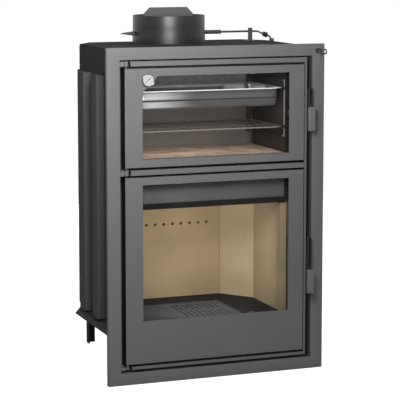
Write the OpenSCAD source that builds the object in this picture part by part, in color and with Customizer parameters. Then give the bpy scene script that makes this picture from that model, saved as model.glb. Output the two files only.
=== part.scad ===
/* [Front frame] */
// Width of the front frame
frame_w = 760; // [700:5:840]
// Height of the front frame
frame_h = 1100; // [1080:5:1160]
// Thickness of the frame's face sheet
frame_t = 4; // [3:0.5:6]
// Depth of the lip folded back round the frame's outer edge
lip_depth = 16; // [10:1:30]
// Width of the frame's band on the hinge side
band_left = 44; // [36:1:52]
// Width of the frame's band on the latch side
band_right = 43; // [36:1:50]
// Height of the frame's top band
band_top = 39; // [32:1:44]
// Height of the frame's bottom band
band_bottom = 40; // [30:1:44]

/* [Doors] */
// Gap between the frame and the hinge edge of both doors
hinge_gap = 17; // [15:0.5:20]
// Slot between the latch bar and the frame, where the levers hang
latch_slot = 20; // [18:0.5:24]
// Width of the latch bar's face
latch_bar_w = 7; // [6:0.5:9]
// Running gap between the doors and the bars round them
door_gap = 3; // [2.5:0.1:5]
// Height of the top bar
top_bar_h = 16; // [14:0.5:20]
// Height of the middle bar
middle_bar_h = 16.4; // [16:0.2:20]
// Height of the bottom bar
bottom_bar_h = 9; // [8:0.5:12]
// Gap between the frame and the top bar
top_bar_gap = 5; // [3:0.5:8]
// Gap between the frame and the bottom bar
bottom_bar_gap = 10; // [6:0.5:14]
// Gap above each door
over_gap = 7.5; // [6:0.5:9]
// Gap below each door, filled by the hinge washer
under_gap = 9; // [7:0.5:12]
// Height of the oven door
oven_door_h = 319; // [300:1:340]
// Thickness of a door's face sheet
door_face_t = 4; // [3:0.5:5]
// Thickness of a door's folded edge
door_edge_t = 3; // [2:0.5:4]
// Depth of a door's folded edge
door_depth = 40; // [36:1:44]
// Width of a door's stile on the hinge side
stile_left = 59; // [54:1:68]
// Width of a door's stile on the latch side
stile_right = 53; // [50:1:62]
// Height of a door's upper rail, and of the oven door's lower rail
rail_h = 25; // [24:0.5:30]
// Height of the firebox door's lower rail
low_rail_h = 140; // [120:1:160]
// Cut of the oven window's corner that carries the thermometer
corner_cut = 53; // [48:1:60]
// Thickness of the glass
glass_t = 4; // [3:0.5:5]
// Lap of the glass behind the rails
glass_lap = 8; // [5:0.5:10]
// Diameter of the rope seal
rope_d = 9.6; // [8:0.1:9.8]
// Distance of the rope seal's centre from the door's top and bottom
rope_inset = 14; // [12:0.5:14]
// Distance of the rope seal's centre from the door's sides
rope_side_inset = 28; // [24:0.5:30]

/* [Hinges] */
// Distance of the hinge axis from the door's hinge edge
pin_inset = 8; // [7.5:0.5:10]
// Distance of the hinge axis behind the front face
pin_back = 14; // [12:0.5:15]
// Diameter of the hinge pins
pin_d = 8; // [6:0.5:9]
// Diameter of the hinge knuckles
knuckle_d = 16; // [13:0.5:16]
// Radial clearance of every turning pin
pin_clear = 0.05; // [0.02:0.01:0.09]

/* [Body] */
// How far the frame stands out past each side of the body
frame_over = 36; // [33:1:40]
// Depth of the body from the frame's face
body_d = 499; // [480:1:560]
// Thickness of the body's sheet
sheet_t = 3; // [2:0.5:4]
// Height of the body's underside above the frame's lower edge
body_z = 165; // [158:1:170]
// Drop of the body's top plate below the frame's top
top_drop = 9; // [6:0.5:14]
// Width of the cut rear corners
chamfer_w = 62; // [40:1:66]
// Depth of the cut rear corners
chamfer_d = 85; // [70:1:90]
// Width of an air channel on the back and the cut corners
channel_w = 82; // [60:1:84]
// How far these air channels stand out of their walls
channel_out = 16; // [12:0.5:20]
// Width of an air channel on a side wall
side_channel_w = 72; // [60:1:80]
// How far a side wall's air channel stands out
side_channel_out = 25; // [16:0.5:28]
// Thickness of an air channel's sheet
channel_t = 2; // [1.5:0.1:3]
// Lowest point of the air channels
channel_z = 193; // [193:1:240]
// Drop of the air channels' tops below the top plate
channel_drop = 88; // [60:1:120]
// Distance from the frame's face to the first air channel
channel_start = 142; // [112:1:150]
// Distance from a side wall's second air channel to the cut corner
channel_end = 55; // [38:1:60]
// Distance from the end of the base skirts to the cut corner
skirt_end = 7; // [0:1:30]
// Rise of a base skirt from its outer edge to the wall
skirt_h = 24; // [20:1:24]
// Flange width of the leg angles
leg_w = 30; // [25:1:36]
// Thickness of the leg angles
leg_t = 4; // [3:0.5:6]
// Height of the feet above the frame's lower edge
foot_z = 57; // [40:1:80]
// Distance of a leg from the body's side
leg_inset = 12; // [8:1:20]
// Distance of the front legs' front edges from the frame's face
front_leg_y = 60; // [56:1:120]
// Distance from the rear legs' rear edges to the cut corner
rear_leg_end = 12; // [5:1:40]
// Distance of the face plate behind the frame's face
plate_y = 50; // [50:0.5:53]
// Thickness of the face plate
plate_t = 4; // [3:0.5:5]

/* [Firebox] */
// Air space between the body's side and the side linings
side_air = 70; // [60:1:80]
// Air space between the body's back and the back lining
rear_air = 74; // [60:1:90]
// Thickness of the fireproof boards
board_t = 25; // [20:1:28]
// Distance of the linings' front ends from the frame's face
lining_y = 56; // [55:1:72]
// How far the corner linings run back from the side linings
corner_depth = 112; // [90:1:130]
// How far the corner linings run in from the side linings
corner_run = 86; // [70:1:100]
// Height of the linings
lining_h = 472; // [440:1:490]
// Number of air holes in the back lining
air_holes = 8; // [4:1:9]
// Diameter of an air hole
air_hole_d = 10; // [6:0.5:14]
// Spacing of the air holes
air_hole_pitch = 32; // [20:1:32]
// Height of the air holes above the hearth
air_hole_z = 260; // [200:1:300]
// Height of the hearth's surface above the base plate
hearth_z = 27; // [24:1:30]
// Thickness of the hearth plate
hearth_t = 10; // [8:0.5:14]
// Width of the grate
grate_w = 204; // [180:2:230]
// Distance of the grate's front edge from the frame's face
grate_y = 60; // [58:1:75]
// Length of the grate
grate_l = 219; // [200:1:230]
// Thickness of the grate
grate_t = 8; // [6:0.5:10]
// Number of bars' slots across the grate
grate_slots = 9; // [5:1:10]
// Width of a slot in the grate
slot_w = 8; // [5:0.5:9]
// How far the air bar runs past the face of each side lining
air_bar_over = 14; // [4:1:18]
// Height of the air bar's face
air_bar_h = 66; // [50:1:80]
// Depth of the air bar in front of the face plate
air_bar_d = 13; // [9:0.5:13]
// Height of the sloping lip under the air bar
air_lip_h = 22; // [14:1:30]
// Width of the ash pan
pan_w = 280; // [240:2:284]
// Depth of the ash pan from front to back
pan_l = 262; // [220:2:266]
// Height of the ash pan's walls
pan_h = 58; // [40:1:60]
// Thickness of the ash pan's sheet
pan_t = 1.5; // [1:0.1:2]

/* [Oven] */
// Air space between the body's side and the oven's inside
oven_air = 76; // [70:1:90]
// Depth of the oven from the face plate
oven_d = 291; // [280:1:300]
// Height inside the oven, from its floor plate to its ceiling
oven_h = 295; // [288:1:297]
// Thickness of the oven's sheet
oven_t = 3; // [2:0.5:3]
// Thickness of the oven's stone
stone_t = 20; // [14:0.5:24]
// Gap round the oven's stone
stone_gap = 3; // [1:0.5:6]
// Height of the grid's rail above the stone
grid_z = 86; // [70:1:90]
// Height of the tray's rail above the stone
tray_z = 215; // [200:1:216]
// Diameter of the racks' wire
wire_d = 5; // [4:0.5:5]
// Diameter of the grid's thin wires
thin_d = 3; // [2:0.5:4]
// Number of thin wires in the grid
grid_wires = 19; // [10:1:30]
// Depth of the roasting tray below its rim
tray_h = 59; // [40:1:60]
// Width of the tray's rim
tray_rim = 10; // [9:1:26]
// Thickness of the tray's sheet
tray_t = 1.5; // [1:0.1:2]
// Diameter of the thermometer's case
gauge_d = 42; // [34:1:44]
// Depth of the thermometer's case
gauge_h = 9; // [8:0.5:12]
// Diameter of the thermometer's stem
stem_d = 7; // [5:0.5:8]
// Length of the thermometer's stem
stem_l = 56; // [40:1:70]

/* [Latches] */
// Length of the oven lever's channel
oven_lever_l = 62; // [56:1:80]
// Height of the oven lever's top above the frame's lower edge
oven_lever_z = 954; // [930:1:980]
// Length of the firebox lever's channel
fire_lever_l = 107; // [90:1:130]
// Height of the firebox lever's top above the frame's lower edge
fire_lever_z = 451; // [400:1:500]
// Width of a lever's channel
lever_w = 12; // [10:0.5:13]
// Depth of a lever's channel in front of the frame
lever_d = 15; // [12:0.5:18]
// Thickness of a lever's sheet
lever_t = 2; // [1.5:0.1:2.5]
// Length of a grip
grip_h = 79; // [70:1:95]
// Width of a grip
grip_w = 24; // [20:0.5:28]
// Thickness of a grip
grip_t = 13; // [10:0.5:14]
// How far a grip's face stands in front of the frame
grip_out = 33; // [31:0.5:45]

/* [Flue and damper] */
// Diameter of the flue collar
collar_d = 250; // [220:2:256]
// Wall of the flue collar
collar_t = 3; // [2:0.5:4]
// Height of the flue collar above the top plate
collar_h = 96; // [90:1:120]
// Height of the collar's spigot, which the flue pipe slips over
spigot_h = 50; // [40:1:50]
// Step between the collar and its spigot, on the radius
spigot_step = 1.5; // [1:0.1:1.5]
// Distance of the flue's centre to the left of the middle
flue_x = 40; // [20:1:60]
// Distance of the flue's centre from the body's back
flue_back = 136; // [134:1:150]
// Height of the damper's axle above the top plate
axle_up = 35; // [34:0.5:40]
// Diameter of the damper's axle
axle_d = 7; // [6:0.5:8]
// Width of the damper plate
damper_w = 180; // [150:2:184]
// Height of the damper plate
damper_h = 175; // [150:1:176]
// Thickness of the damper plate
damper_t = 3; // [2:0.5:4]
// Cut of the damper plate's corners
damper_cut = 22; // [20:1:30]
// Length of the bearing sleeve beside the collar
sleeve_l = 66; // [40:1:90]
// Diameter of the bearing sleeve
sleeve_d = 14; // [11:0.5:16]
// Distance of the axle post from the body's side
post_in = 82; // [74:1:100]
// Radius of the damper's crank
crank_r = 50; // [46:0.5:54]
// Angle of the crank behind straight down, with the damper open
crank_rest = 42; // [36:1:45]
// Diameter of the crank's rod
crank_d = 6; // [5:0.5:6]
// Distance of the pull rod from the frame's latch edge
rod_x = 25; // [20:0.5:28]
// Drop of the pull rod below the frame's top
rod_drop = 23; // [21:0.5:26]
// Diameter of the pull rod
rod_d = 7; // [6:0.5:8]
// Length of the pull rod's front loop
loop_l = 59; // [45:1:75]
// Width of the pull rod's front loop
loop_w = 19; // [16:0.5:26]
// Diameter of the loop's wire
loop_d = 5; // [4:0.5:6]
// How far the front loop stands in front of the frame
loop_out = 70; // [66:1:90]

/* [Hidden] */
$fn = 48;

// Gap between pieces that rest against each other but aren't joined
seat = 0.2;
// Extra length of a cut that passes through a face
through = 1;

// The part stands with its middle over the origin: these are its reach to the front and back
back_reach = body_d + channel_out;
front_y = (loop_out - back_reach) / 2;

// Edges of the frame's opening
open_x0 = band_left - frame_w / 2;
open_x1 = frame_w / 2 - band_right;
open_z0 = band_bottom;
open_z1 = frame_h - band_top;

// Edges of the doors and of the bars round them
door_x0 = open_x0 + hinge_gap;
latch_bar_x1 = open_x1 - latch_slot;
latch_bar_x0 = latch_bar_x1 - latch_bar_w;
door_x1 = latch_bar_x0 - door_gap;
top_bar_z1 = open_z1 - top_bar_gap;
top_bar_z0 = top_bar_z1 - top_bar_h;
oven_door_z1 = top_bar_z0 - over_gap;
oven_door_z0 = oven_door_z1 - oven_door_h;
middle_bar_z1 = oven_door_z0 - under_gap;
middle_bar_z0 = middle_bar_z1 - middle_bar_h;
fire_door_z1 = middle_bar_z0 - over_gap;
bottom_bar_z0 = open_z0 + bottom_bar_gap;
bottom_bar_z1 = bottom_bar_z0 + bottom_bar_h;
fire_door_z0 = bottom_bar_z1 + under_gap;

// Windows of the doors
window_x0 = door_x0 + stile_left;
window_x1 = door_x1 - stile_right;
oven_window_z0 = oven_door_z0 + rail_h;
oven_window_z1 = oven_door_z1 - rail_h;
fire_window_z0 = fire_door_z0 + low_rail_h;
fire_window_z1 = fire_door_z1 - rail_h;

// Hinge axis of both doors
pin_x = door_x0 + pin_inset;
pin_y = pin_back;
bracket_gap = 3;
boss_pin = 20;
bracket_x1 = pin_x + knuckle_d / 2;
bar_x0 = bracket_x1 + bracket_gap;

// Body
top_z = frame_h - top_drop;
body_x = frame_w / 2 - frame_over;
inner_x = body_x - sheet_t;
base_top_z = body_z + sheet_t;
roof_z = top_z - sheet_t;
corner_front_y = body_d - chamfer_d;
channel_pitch = corner_front_y - channel_start - side_channel_w - channel_end;
skirt_len = corner_front_y - skirt_end;
rear_leg_y = corner_front_y - rear_leg_end;
channel_top_z = top_z - channel_drop;
rope_seat_y = door_depth;
plate_back_y = plate_y + plate_t;

// Firebox
fire_x = inner_x - side_air - board_t;
fire_back_x = fire_x - corner_run;
fire_back_y = body_d - sheet_t - rear_air - board_t;
corner_y = fire_back_y - corner_depth;
hearth_top_z = base_top_z + hearth_z;
lining_top_z = base_top_z + lining_h;
grate_x = grate_w / 2;
grate_rim = 8;
ash_hole_x = grate_x - grate_rim - 4;
pan_x = pan_w / 2;
box_wall = 2;
box_x = pan_x + 3 + box_wall;
box_z = 88;
pan_z = box_z + box_wall + seat;
pan_y = plate_back_y + 2;
box_back_y = pan_y + pan_l + 4;

// Oven
oven_x = inner_x - oven_air;
oven_sill_z = oven_window_z0 - 5;
stone_top_z = oven_window_z0 - 4;
oven_floor_z = stone_top_z - stone_t;
oven_ceiling_z = oven_floor_z + oven_h;
oven_back_y = plate_back_y + oven_d;
grid_rail_z = stone_top_z + grid_z;
tray_rail_z = stone_top_z + tray_z;
rack_front_y = plate_back_y + 8;
rack_back_y = oven_back_y - 27;
rack_x = oven_x - wire_d / 2 - seat;
rail_x = rack_x - wire_d + 0.5;
rack_load_x = rack_x - wire_d / 2 - 1.3;
gauge_x = window_x0 + 18.5;
gauge_z = oven_window_z1 - 12;

// Levers
lever_x0 = latch_bar_x1 + 2;
lever_x1 = lever_x0 + lever_w;
lever_mid_x = (lever_x0 + lever_x1) / 2;
lever_pivot_y = 20;
lever_pivot_drop = 12;
lever_axle_d = 8;
latch_web_t = 3;
grip_x0 = lever_mid_x - grip_w / 2 - 2;
lever_pivots = [oven_lever_z - lever_pivot_drop, fire_lever_z - lever_pivot_drop];

// Flue, damper and pull rod
flue_cx = -flue_x;
flue_y = body_d - flue_back;
post_x = body_x - post_in;
collar_r = collar_d / 2;
axle_z = top_z + axle_up;
axle_r = axle_d / 2;
shoulder_z = top_z + collar_h - spigot_h;
rim_z = top_z + collar_h;
elbow_x = post_x + 26;
rod_cx = frame_w / 2 - rod_x;
rod_cz = frame_h - rod_drop;
rod_r = rod_d / 2;
bush_d = rod_d + 5;
crank_tail_x = rod_cx - 3;
crank_bend_x = body_x + 4;
crank_bend_r = 29.5;
crank_end_x = rod_cx + 11;
yoke_y = flue_y + crank_r * sin(crank_rest);
yoke_clear = 2;
yoke_w = crank_d + 2 * yoke_clear;
yoke_low_z = axle_z - crank_r;
yoke_high_z = axle_z - crank_r * cos(crank_rest);

// Moves what is drawn from the frame's face to the part's own origin
module from_face() {
    translate([0, front_y, 0]) children();
}

// A box from its two opposite corners
module block(a, b) {
    translate(a) cube(b - a);
}

// A round bar along X, Y or Z from a start point
module bar_x(p, d, l) {
    translate(p) rotate([0, 90, 0]) cylinder(d = d, h = l);
}

module bar_y(p, d, l) {
    translate(p) rotate([-90, 0, 0]) cylinder(d = d, h = l);
}

module bar_z(p, d, l) {
    translate(p) cylinder(d = d, h = l);
}

// A round bar between two points
module bar_between(a, b, d) {
    v = b - a;
    translate(a)
        rotate([0, acos(v[2] / norm(v)), atan2(v[1], v[0])])
            cylinder(d = d, h = norm(v));
}

// The same shape on both sides of the body
module both_sides() {
    children();
    mirror([1, 0, 0]) children();
}

// Plan of the body with its cut rear corners, from a distance behind the frame's face
module body_plan(inset, start_y) {
    polygon([
        [-body_x + inset, start_y],
        [body_x - inset, start_y],
        [body_x - inset, corner_front_y],
        [body_x - chamfer_w, body_d - inset],
        [-body_x + chamfer_w, body_d - inset],
        [-body_x + inset, corner_front_y]
    ]);
}

// Rectangle in the front view, made into a plate along Y
module front_sheet(x0, z0, x1, z1, y0, t) {
    block([x0, y0, z0], [x1, y0 + t, z1]);
}

module front_frame() {
    lip_t = 3;
    color([0.36, 0.36, 0.37]) from_face() difference() {
        union() {
            front_sheet(-frame_w / 2, 0, frame_w / 2, frame_h, 0, frame_t);
            difference() {
                front_sheet(-frame_w / 2, 0, frame_w / 2, frame_h, 0, lip_depth);
                front_sheet(-frame_w / 2 + lip_t, lip_t, frame_w / 2 - lip_t,
                    frame_h - lip_t, -through, lip_depth + 2 * through);
            }
        }
        front_sheet(open_x0, open_z0, open_x1, open_z1, -through, frame_t + 2 * through);
        bar_y([rod_cx, -through, rod_cz], bush_d + 2 * pin_clear, frame_t + 2 * through);
    }
}

// A bar of folded sheet round the doors: a face and two webs that run back to the face plate
module folded_bar(x0, z0, x1, z1) {
    web_t = 2;
    difference() {
        block([x0, 0, z0], [x1, plate_y - seat, z1]);
        block([x0 - through, frame_t, z0 + web_t], [x1 + through, plate_y + through, z1 - web_t]);
    }
}

module top_bar() {
    color([0.38, 0.38, 0.39]) from_face()
        folded_bar(bar_x0, top_bar_z0, latch_bar_x0, top_bar_z1);
}

module middle_bar() {
    color([0.36, 0.36, 0.37]) from_face()
        folded_bar(bar_x0, middle_bar_z0, latch_bar_x0, middle_bar_z1);
}

module bottom_bar() {
    color([0.33, 0.33, 0.34]) from_face()
        folded_bar(bar_x0, bottom_bar_z0, latch_bar_x0, bottom_bar_z1);
}

// Angle bar between the doors and the levers' slot, bored for the levers' axles
module latch_bar() {
    color([0.35, 0.35, 0.36]) from_face() difference() {
        union() {
            block([latch_bar_x0, 0, bottom_bar_z0], [latch_bar_x1, frame_t, top_bar_z1]);
            block([latch_bar_x1 - latch_web_t, 0, bottom_bar_z0],
                [latch_bar_x1, plate_y - seat, top_bar_z1]);
        }
        for (z = lever_pivots)
            bar_x([latch_bar_x0 - through, lever_pivot_y, z],
                lever_axle_d + 2 * pin_clear, latch_bar_w + 2 * through);
    }
}

// One hinge bracket: a block at the frame, a knuckle bored for the pins, and a web behind both
module hinge_bracket(z0, z1) {
    block_x1 = door_x0 - bracket_gap;
    web_y = pin_y + knuckle_d / 2 + 2;
    difference() {
        union() {
            block([open_x0 + seat, 0, z0], [block_x1, plate_y - seat, z1]);
            block([block_x1 - through, web_y, z0], [bracket_x1, plate_y - seat, z1]);
            block([pin_x - knuckle_d / 2, pin_y, z0], [bracket_x1, web_y + through, z1]);
            bar_z([pin_x, pin_y, z0], knuckle_d, z1 - z0);
        }
        bar_z([pin_x, pin_y, z0 - through], pin_d + 2 * pin_clear, z1 - z0 + 2 * through);
    }
}

module hinge_brackets() {
    color([0.30, 0.30, 0.31]) from_face() {
        hinge_bracket(top_bar_z0, top_bar_z1);
        hinge_bracket(middle_bar_z0, middle_bar_z1);
        hinge_bracket(bottom_bar_z0, bottom_bar_z1);
    }
}

// Face plate that the doors close on, with its sides folded forward to the frame
module front_plate() {
    side_t = 3;
    plate_x = inner_x - seat;
    mouth_x = fire_x + board_t + 1;
    mouth_z1 = lining_top_z + 15;
    color([0.17, 0.17, 0.18]) from_face() difference() {
        union() {
            front_sheet(-plate_x, open_z0 - side_t, plate_x, roof_z - seat, plate_y, plate_t);
            difference() {
                front_sheet(open_x0 - side_t, open_z0 - side_t, open_x1 + side_t,
                    open_z1 + side_t, frame_t + seat, plate_y - frame_t);
                front_sheet(open_x0, open_z0, open_x1, open_z1, 0, plate_back_y + through);
            }
        }
        front_sheet(-mouth_x, hearth_top_z - hearth_t, mouth_x, mouth_z1,
            plate_y - through, plate_t + 2 * through);
        front_sheet(-oven_x, oven_sill_z, oven_x, oven_ceiling_z, plate_y - through,
            plate_t + 2 * through);
        front_sheet(-box_x + box_wall, box_z + box_wall, box_x - box_wall, body_z - 5,
            plate_y - through, plate_t + 2 * through);
    }
}

module side_walls() {
    color([0.24, 0.24, 0.25]) from_face() both_sides()
        block([-body_x, frame_t + seat, base_top_z], [-inner_x, corner_front_y, roof_z]);
}

module back_wall() {
    x = body_x - chamfer_w;
    color([0.24, 0.24, 0.25]) from_face()
        block([-x, body_d - sheet_t, base_top_z], [x, body_d, roof_z]);
}

module corner_panels() {
    color([0.24, 0.24, 0.25]) from_face() both_sides()
        translate([0, 0, base_top_z]) linear_extrude(roof_z - base_top_z) polygon([
            [-body_x, corner_front_y],
            [-body_x + chamfer_w, body_d],
            [-body_x + chamfer_w, body_d - sheet_t],
            [-inner_x, corner_front_y]
        ]);
}

module top_plate() {
    color([0.26, 0.26, 0.27]) from_face() translate([0, 0, roof_z]) difference() {
        linear_extrude(sheet_t) body_plan(0, frame_t + seat);
        bar_z([flue_cx, flue_y, -through], collar_d - 2 * collar_t, sheet_t + 2 * through);
    }
}

module base_plate() {
    color([0.20, 0.20, 0.21]) from_face() translate([0, 0, body_z]) difference() {
        linear_extrude(sheet_t) body_plan(0, plate_back_y + seat);
        block([-ash_hole_x, grate_y + grate_rim + 4, -through],
            [ash_hole_x, grate_y + grate_l - grate_rim - 4, sheet_t + through]);
    }
}

// Sheet that flares out from each side wall to the frame's edge, cut off slanting at the back
module base_skirts() {
    skirt_t = 4;
    out_x = frame_w / 2;
    tail = 37;
    color([0.19, 0.19, 0.20]) from_face() both_sides() intersection() {
        translate([0, lip_depth + seat, 0]) rotate([90, 0, 0]) mirror([0, 0, 1])
            linear_extrude(skirt_len) polygon([
                [-body_x - seat, base_top_z + skirt_h],
                [-body_x - seat, base_top_z + skirt_h - skirt_t],
                [-out_x, base_top_z],
                [-out_x, base_top_z + skirt_t]
            ]);
        translate([0, 0, body_z - through]) linear_extrude(skirt_h + 2 * through) polygon([
            [-out_x - through, 0],
            [-body_x, 0],
            [-body_x, skirt_len],
            [-out_x - through, skirt_len - tail]
        ]);
    }
}

// An air channel: folded sheet with closed ends, its open side on a wall that runs along X
module air_channel(w, out) {
    h = channel_top_z - channel_z;
    slope = 6;
    difference() {
        linear_extrude(h) polygon([
            [-w / 2, 0], [-w / 2 + slope, out],
            [w / 2 - slope, out], [w / 2, 0]
        ]);
        translate([0, 0, channel_t]) linear_extrude(h - 2 * channel_t) polygon([
            [-w / 2 + channel_t, -through], [-w / 2 + slope + channel_t, out - channel_t],
            [w / 2 - slope - channel_t, out - channel_t], [w / 2 - channel_t, -through]
        ]);
    }
}

module air_channels() {
    corner_angle = atan2(chamfer_d, chamfer_w);
    back_gap = (2 * (body_x - chamfer_w) - 3 * channel_w) / 4;
    color([0.29, 0.29, 0.30]) from_face() translate([0, 0, channel_z]) {
        both_sides() {
            for (i = [0:1]) {
                y = channel_start + side_channel_w / 2 + i * channel_pitch;
                translate([-body_x - seat, y, 0]) rotate([0, 0, 90])
                    air_channel(side_channel_w, side_channel_out);
            }
            translate([-body_x + chamfer_w / 2, body_d - chamfer_d / 2, 0])
                rotate([0, 0, corner_angle]) translate([0, seat, 0])
                    air_channel(channel_w, channel_out);
        }
        for (i = [-1:1])
            translate([i * (channel_w + back_gap), body_d + seat, 0])
                air_channel(channel_w, channel_out);
    }
}

// A leg of angle section with its corner at the origin, its flanges along +X and one way along Y
module leg(back) {
    h = body_z - foot_z;
    y = back ? -1 : 1;
    cube([leg_t, leg_w, h]);
    translate([0, y > 0 ? 0 : leg_w - leg_t, 0]) cube([leg_w, leg_t, h]);
}

module legs() {
    x = -body_x + leg_inset;
    color([0.15, 0.15, 0.16]) from_face() both_sides() {
        translate([x, front_leg_y, foot_z]) leg(false);
        translate([x, rear_leg_y - leg_w, foot_z]) leg(true);
    }
}

// Open-fronted box under the base plate that the ash pan slides in
module ash_box() {
    color([0.18, 0.18, 0.19]) from_face() {
        block([-box_x, plate_back_y + seat, box_z], [box_x, box_back_y, box_z + box_wall]);
        both_sides() block([-box_x, plate_back_y + seat, box_z + box_wall],
            [-box_x + box_wall, box_back_y, body_z - seat]);
        block([-box_x + box_wall, box_back_y - box_wall, box_z + box_wall],
            [box_x - box_wall, box_back_y, body_z - seat]);
    }
}

module ash_pan() {
    pull_w = 90;
    color([0.30, 0.30, 0.31]) from_face() {
        difference() {
            block([-pan_x, pan_y, pan_z], [pan_x, pan_y + pan_l, pan_z + pan_h]);
            block([-pan_x + pan_t, pan_y + pan_t, pan_z + pan_t],
                [pan_x - pan_t, pan_y + pan_l - pan_t, pan_z + pan_h + through]);
        }
        block([-pull_w / 2, pan_y - 14, pan_z + pan_h - 14],
            [pull_w / 2, pan_y + pan_t, pan_z + pan_h - 12]);
    }
}

// Plan of the firebox floor between the linings
module fire_plan(gap) {
    polygon([
        [-fire_x + gap, plate_back_y + gap],
        [fire_x - gap, plate_back_y + gap],
        [fire_x - gap, corner_y],
        [fire_back_x - gap, fire_back_y - gap],
        [-fire_back_x + gap, fire_back_y - gap],
        [-fire_x + gap, corner_y]
    ]);
}

// Cast floor of the firebox, standing on four feet, open where the grate lies
module hearth_plate() {
    foot = 24;
    color([0.10, 0.10, 0.11]) from_face() {
        translate([0, 0, hearth_top_z - hearth_t]) difference() {
            linear_extrude(hearth_t) fire_plan(1);
            block([-grate_x - seat, grate_y - seat, -through],
                [grate_x + seat, grate_y + grate_l + seat, hearth_t + through]);
        }
        both_sides() for (y = [lining_y + 4, corner_y - foot])
            block([-fire_x + 10, y, base_top_z], [-fire_x + 10 + foot, y + foot,
                hearth_top_z - hearth_t + through]);
    }
}

// Cast grate on a rim that stands on the base plate, with two rows of slots
module grate() {
    margin = 18;
    pitch = (grate_w - 2 * margin) / grate_slots;
    row_l = (grate_l - 3 * margin) / 2;
    color([0.34, 0.34, 0.35]) from_face() translate([0, grate_y, base_top_z]) difference() {
        block([-grate_x, 0, 0], [grate_x, grate_l, hearth_z]);
        block([-grate_x + grate_rim, grate_rim, -through],
            [grate_x - grate_rim, grate_l - grate_rim, hearth_z - grate_t]);
        for (i = [0:grate_slots - 1], row = [0:1]) {
            x = (i - (grate_slots - 1) / 2) * pitch;
            y = margin + row * (row_l + margin);
            translate([x, y + slot_w / 2, 0]) {
                cylinder(d = slot_w, h = hearth_z + through);
                translate([0, row_l - slot_w, 0]) cylinder(d = slot_w, h = hearth_z + through);
                translate([-slot_w / 2, 0, 0]) cube([slot_w, row_l - slot_w, hearth_z + through]);
            }
        }
    }
}

module back_lining() {
    color([0.66, 0.57, 0.42]) from_face() difference() {
        block([-fire_back_x, fire_back_y, base_top_z], [fire_back_x, fire_back_y + board_t,
            lining_top_z]);
        for (i = [0:air_holes - 1])
            bar_y([(i - (air_holes - 1) / 2) * air_hole_pitch, fire_back_y - through,
                hearth_top_z + air_hole_z], air_hole_d, board_t + 2 * through);
    }
}

module side_linings() {
    color([0.64, 0.56, 0.41]) from_face() both_sides()
        block([fire_x, lining_y, base_top_z], [fire_x + board_t, corner_y - seat, lining_top_z]);
}

// Boards across the firebox's rear corners
module corner_linings() {
    run = [fire_back_x - fire_x, fire_back_y - corner_y];
    out = [run[1], -run[0]] / norm(run) * board_t;
    a = [fire_x, corner_y + seat];
    b = [fire_back_x + seat, fire_back_y + seat];
    color([0.70, 0.61, 0.46]) from_face() both_sides() translate([0, 0, base_top_z])
        linear_extrude(lining_top_z - base_top_z) polygon([a, b, b + out, a + out]);
}

// Board over the fire that sends the smoke forward, resting on the linings
module baffle_board() {
    front_gap = 100;
    x = fire_x + board_t;
    color([0.60, 0.53, 0.40]) from_face()
        block([-x, lining_y + front_gap, lining_top_z + seat],
            [x, corner_y, lining_top_z + seat + board_t]);
}

// Folded bar that sends air down the inside of the firebox glass
module air_bar() {
    x = fire_x + air_bar_over;
    top = fire_window_z1 - 1;
    low = top - air_bar_h;
    y0 = plate_y - air_bar_d - seat;
    y1 = plate_y - seat;
    t = 2;
    color([0.32, 0.32, 0.33]) from_face() rotate([90, 0, 90])
        translate([0, 0, -x]) linear_extrude(2 * x) polygon([
            [y0, top], [y1, top], [y1, top - t], [y0 + t, top - t],
            [y0 + t, low], [y1, low - air_lip_h + t], [y1, low - air_lip_h], [y0, low - t]
        ]);
}

module oven_floor() {
    color([0.24, 0.22, 0.21]) from_face()
        block([-oven_x - oven_t, plate_back_y + seat, oven_floor_z - oven_t],
            [oven_x + oven_t, oven_back_y, oven_floor_z]);
}

module oven_side_walls() {
    color([0.24, 0.21, 0.20]) from_face() both_sides()
        block([oven_x, plate_back_y + seat, oven_floor_z], [oven_x + oven_t, oven_back_y,
            oven_ceiling_z]);
}

module oven_back() {
    color([0.36, 0.34, 0.32]) from_face()
        block([-oven_x - oven_t, oven_back_y, oven_floor_z - oven_t],
            [oven_x + oven_t, oven_back_y + oven_t, oven_ceiling_z + oven_t]);
}

module oven_ceiling() {
    color([0.14, 0.14, 0.14]) from_face()
        block([-oven_x - oven_t, plate_back_y + seat, oven_ceiling_z],
            [oven_x + oven_t, oven_back_y, oven_ceiling_z + oven_t]);
}

module oven_stone() {
    color([0.70, 0.55, 0.43]) from_face()
        block([-oven_x + stone_gap, plate_back_y + stone_gap, oven_floor_z],
            [oven_x - stone_gap, oven_back_y - stone_gap, stone_top_z]);
}

// Wire frames on the oven's side walls: two uprights and a rail for the grid and the tray
module rack_supports() {
    low = grid_rail_z - 33;
    high = tray_rail_z + 29;
    color([0.62, 0.62, 0.63]) from_face() both_sides() {
        for (y = [rack_front_y, rack_back_y])
            bar_z([rack_x, y, low], wire_d, high - low);
        for (z = [low + wire_d / 2, grid_rail_z - wire_d - seat, tray_rail_z - wire_d / 2 - seat,
                high - wire_d / 2])
            bar_y([rail_x, rack_front_y - wire_d / 2, z], wire_d,
                rack_back_y - rack_front_y + wire_d);
    }
}

// Grid of welded wire lying on its rails
module wire_grid() {
    x = rack_load_x - wire_d / 2;
    y0 = rack_front_y;
    y1 = rack_back_y;
    pitch = 2 * x / (grid_wires + 1);
    color([0.60, 0.60, 0.61]) from_face() translate([0, 0, grid_rail_z]) {
        both_sides() bar_y([x, y0, 0], wire_d, y1 - y0);
        for (y = [y0, y1]) bar_x([-x, y, 0], wire_d, 2 * x);
        for (k = [1, 2]) bar_x([-x, y0 + (y1 - y0) * k / 3, 0], thin_d, 2 * x);
        for (i = [1:grid_wires]) bar_y([-x + i * pitch, y0, thin_d / 2], thin_d, y1 - y0);
    }
}

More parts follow.
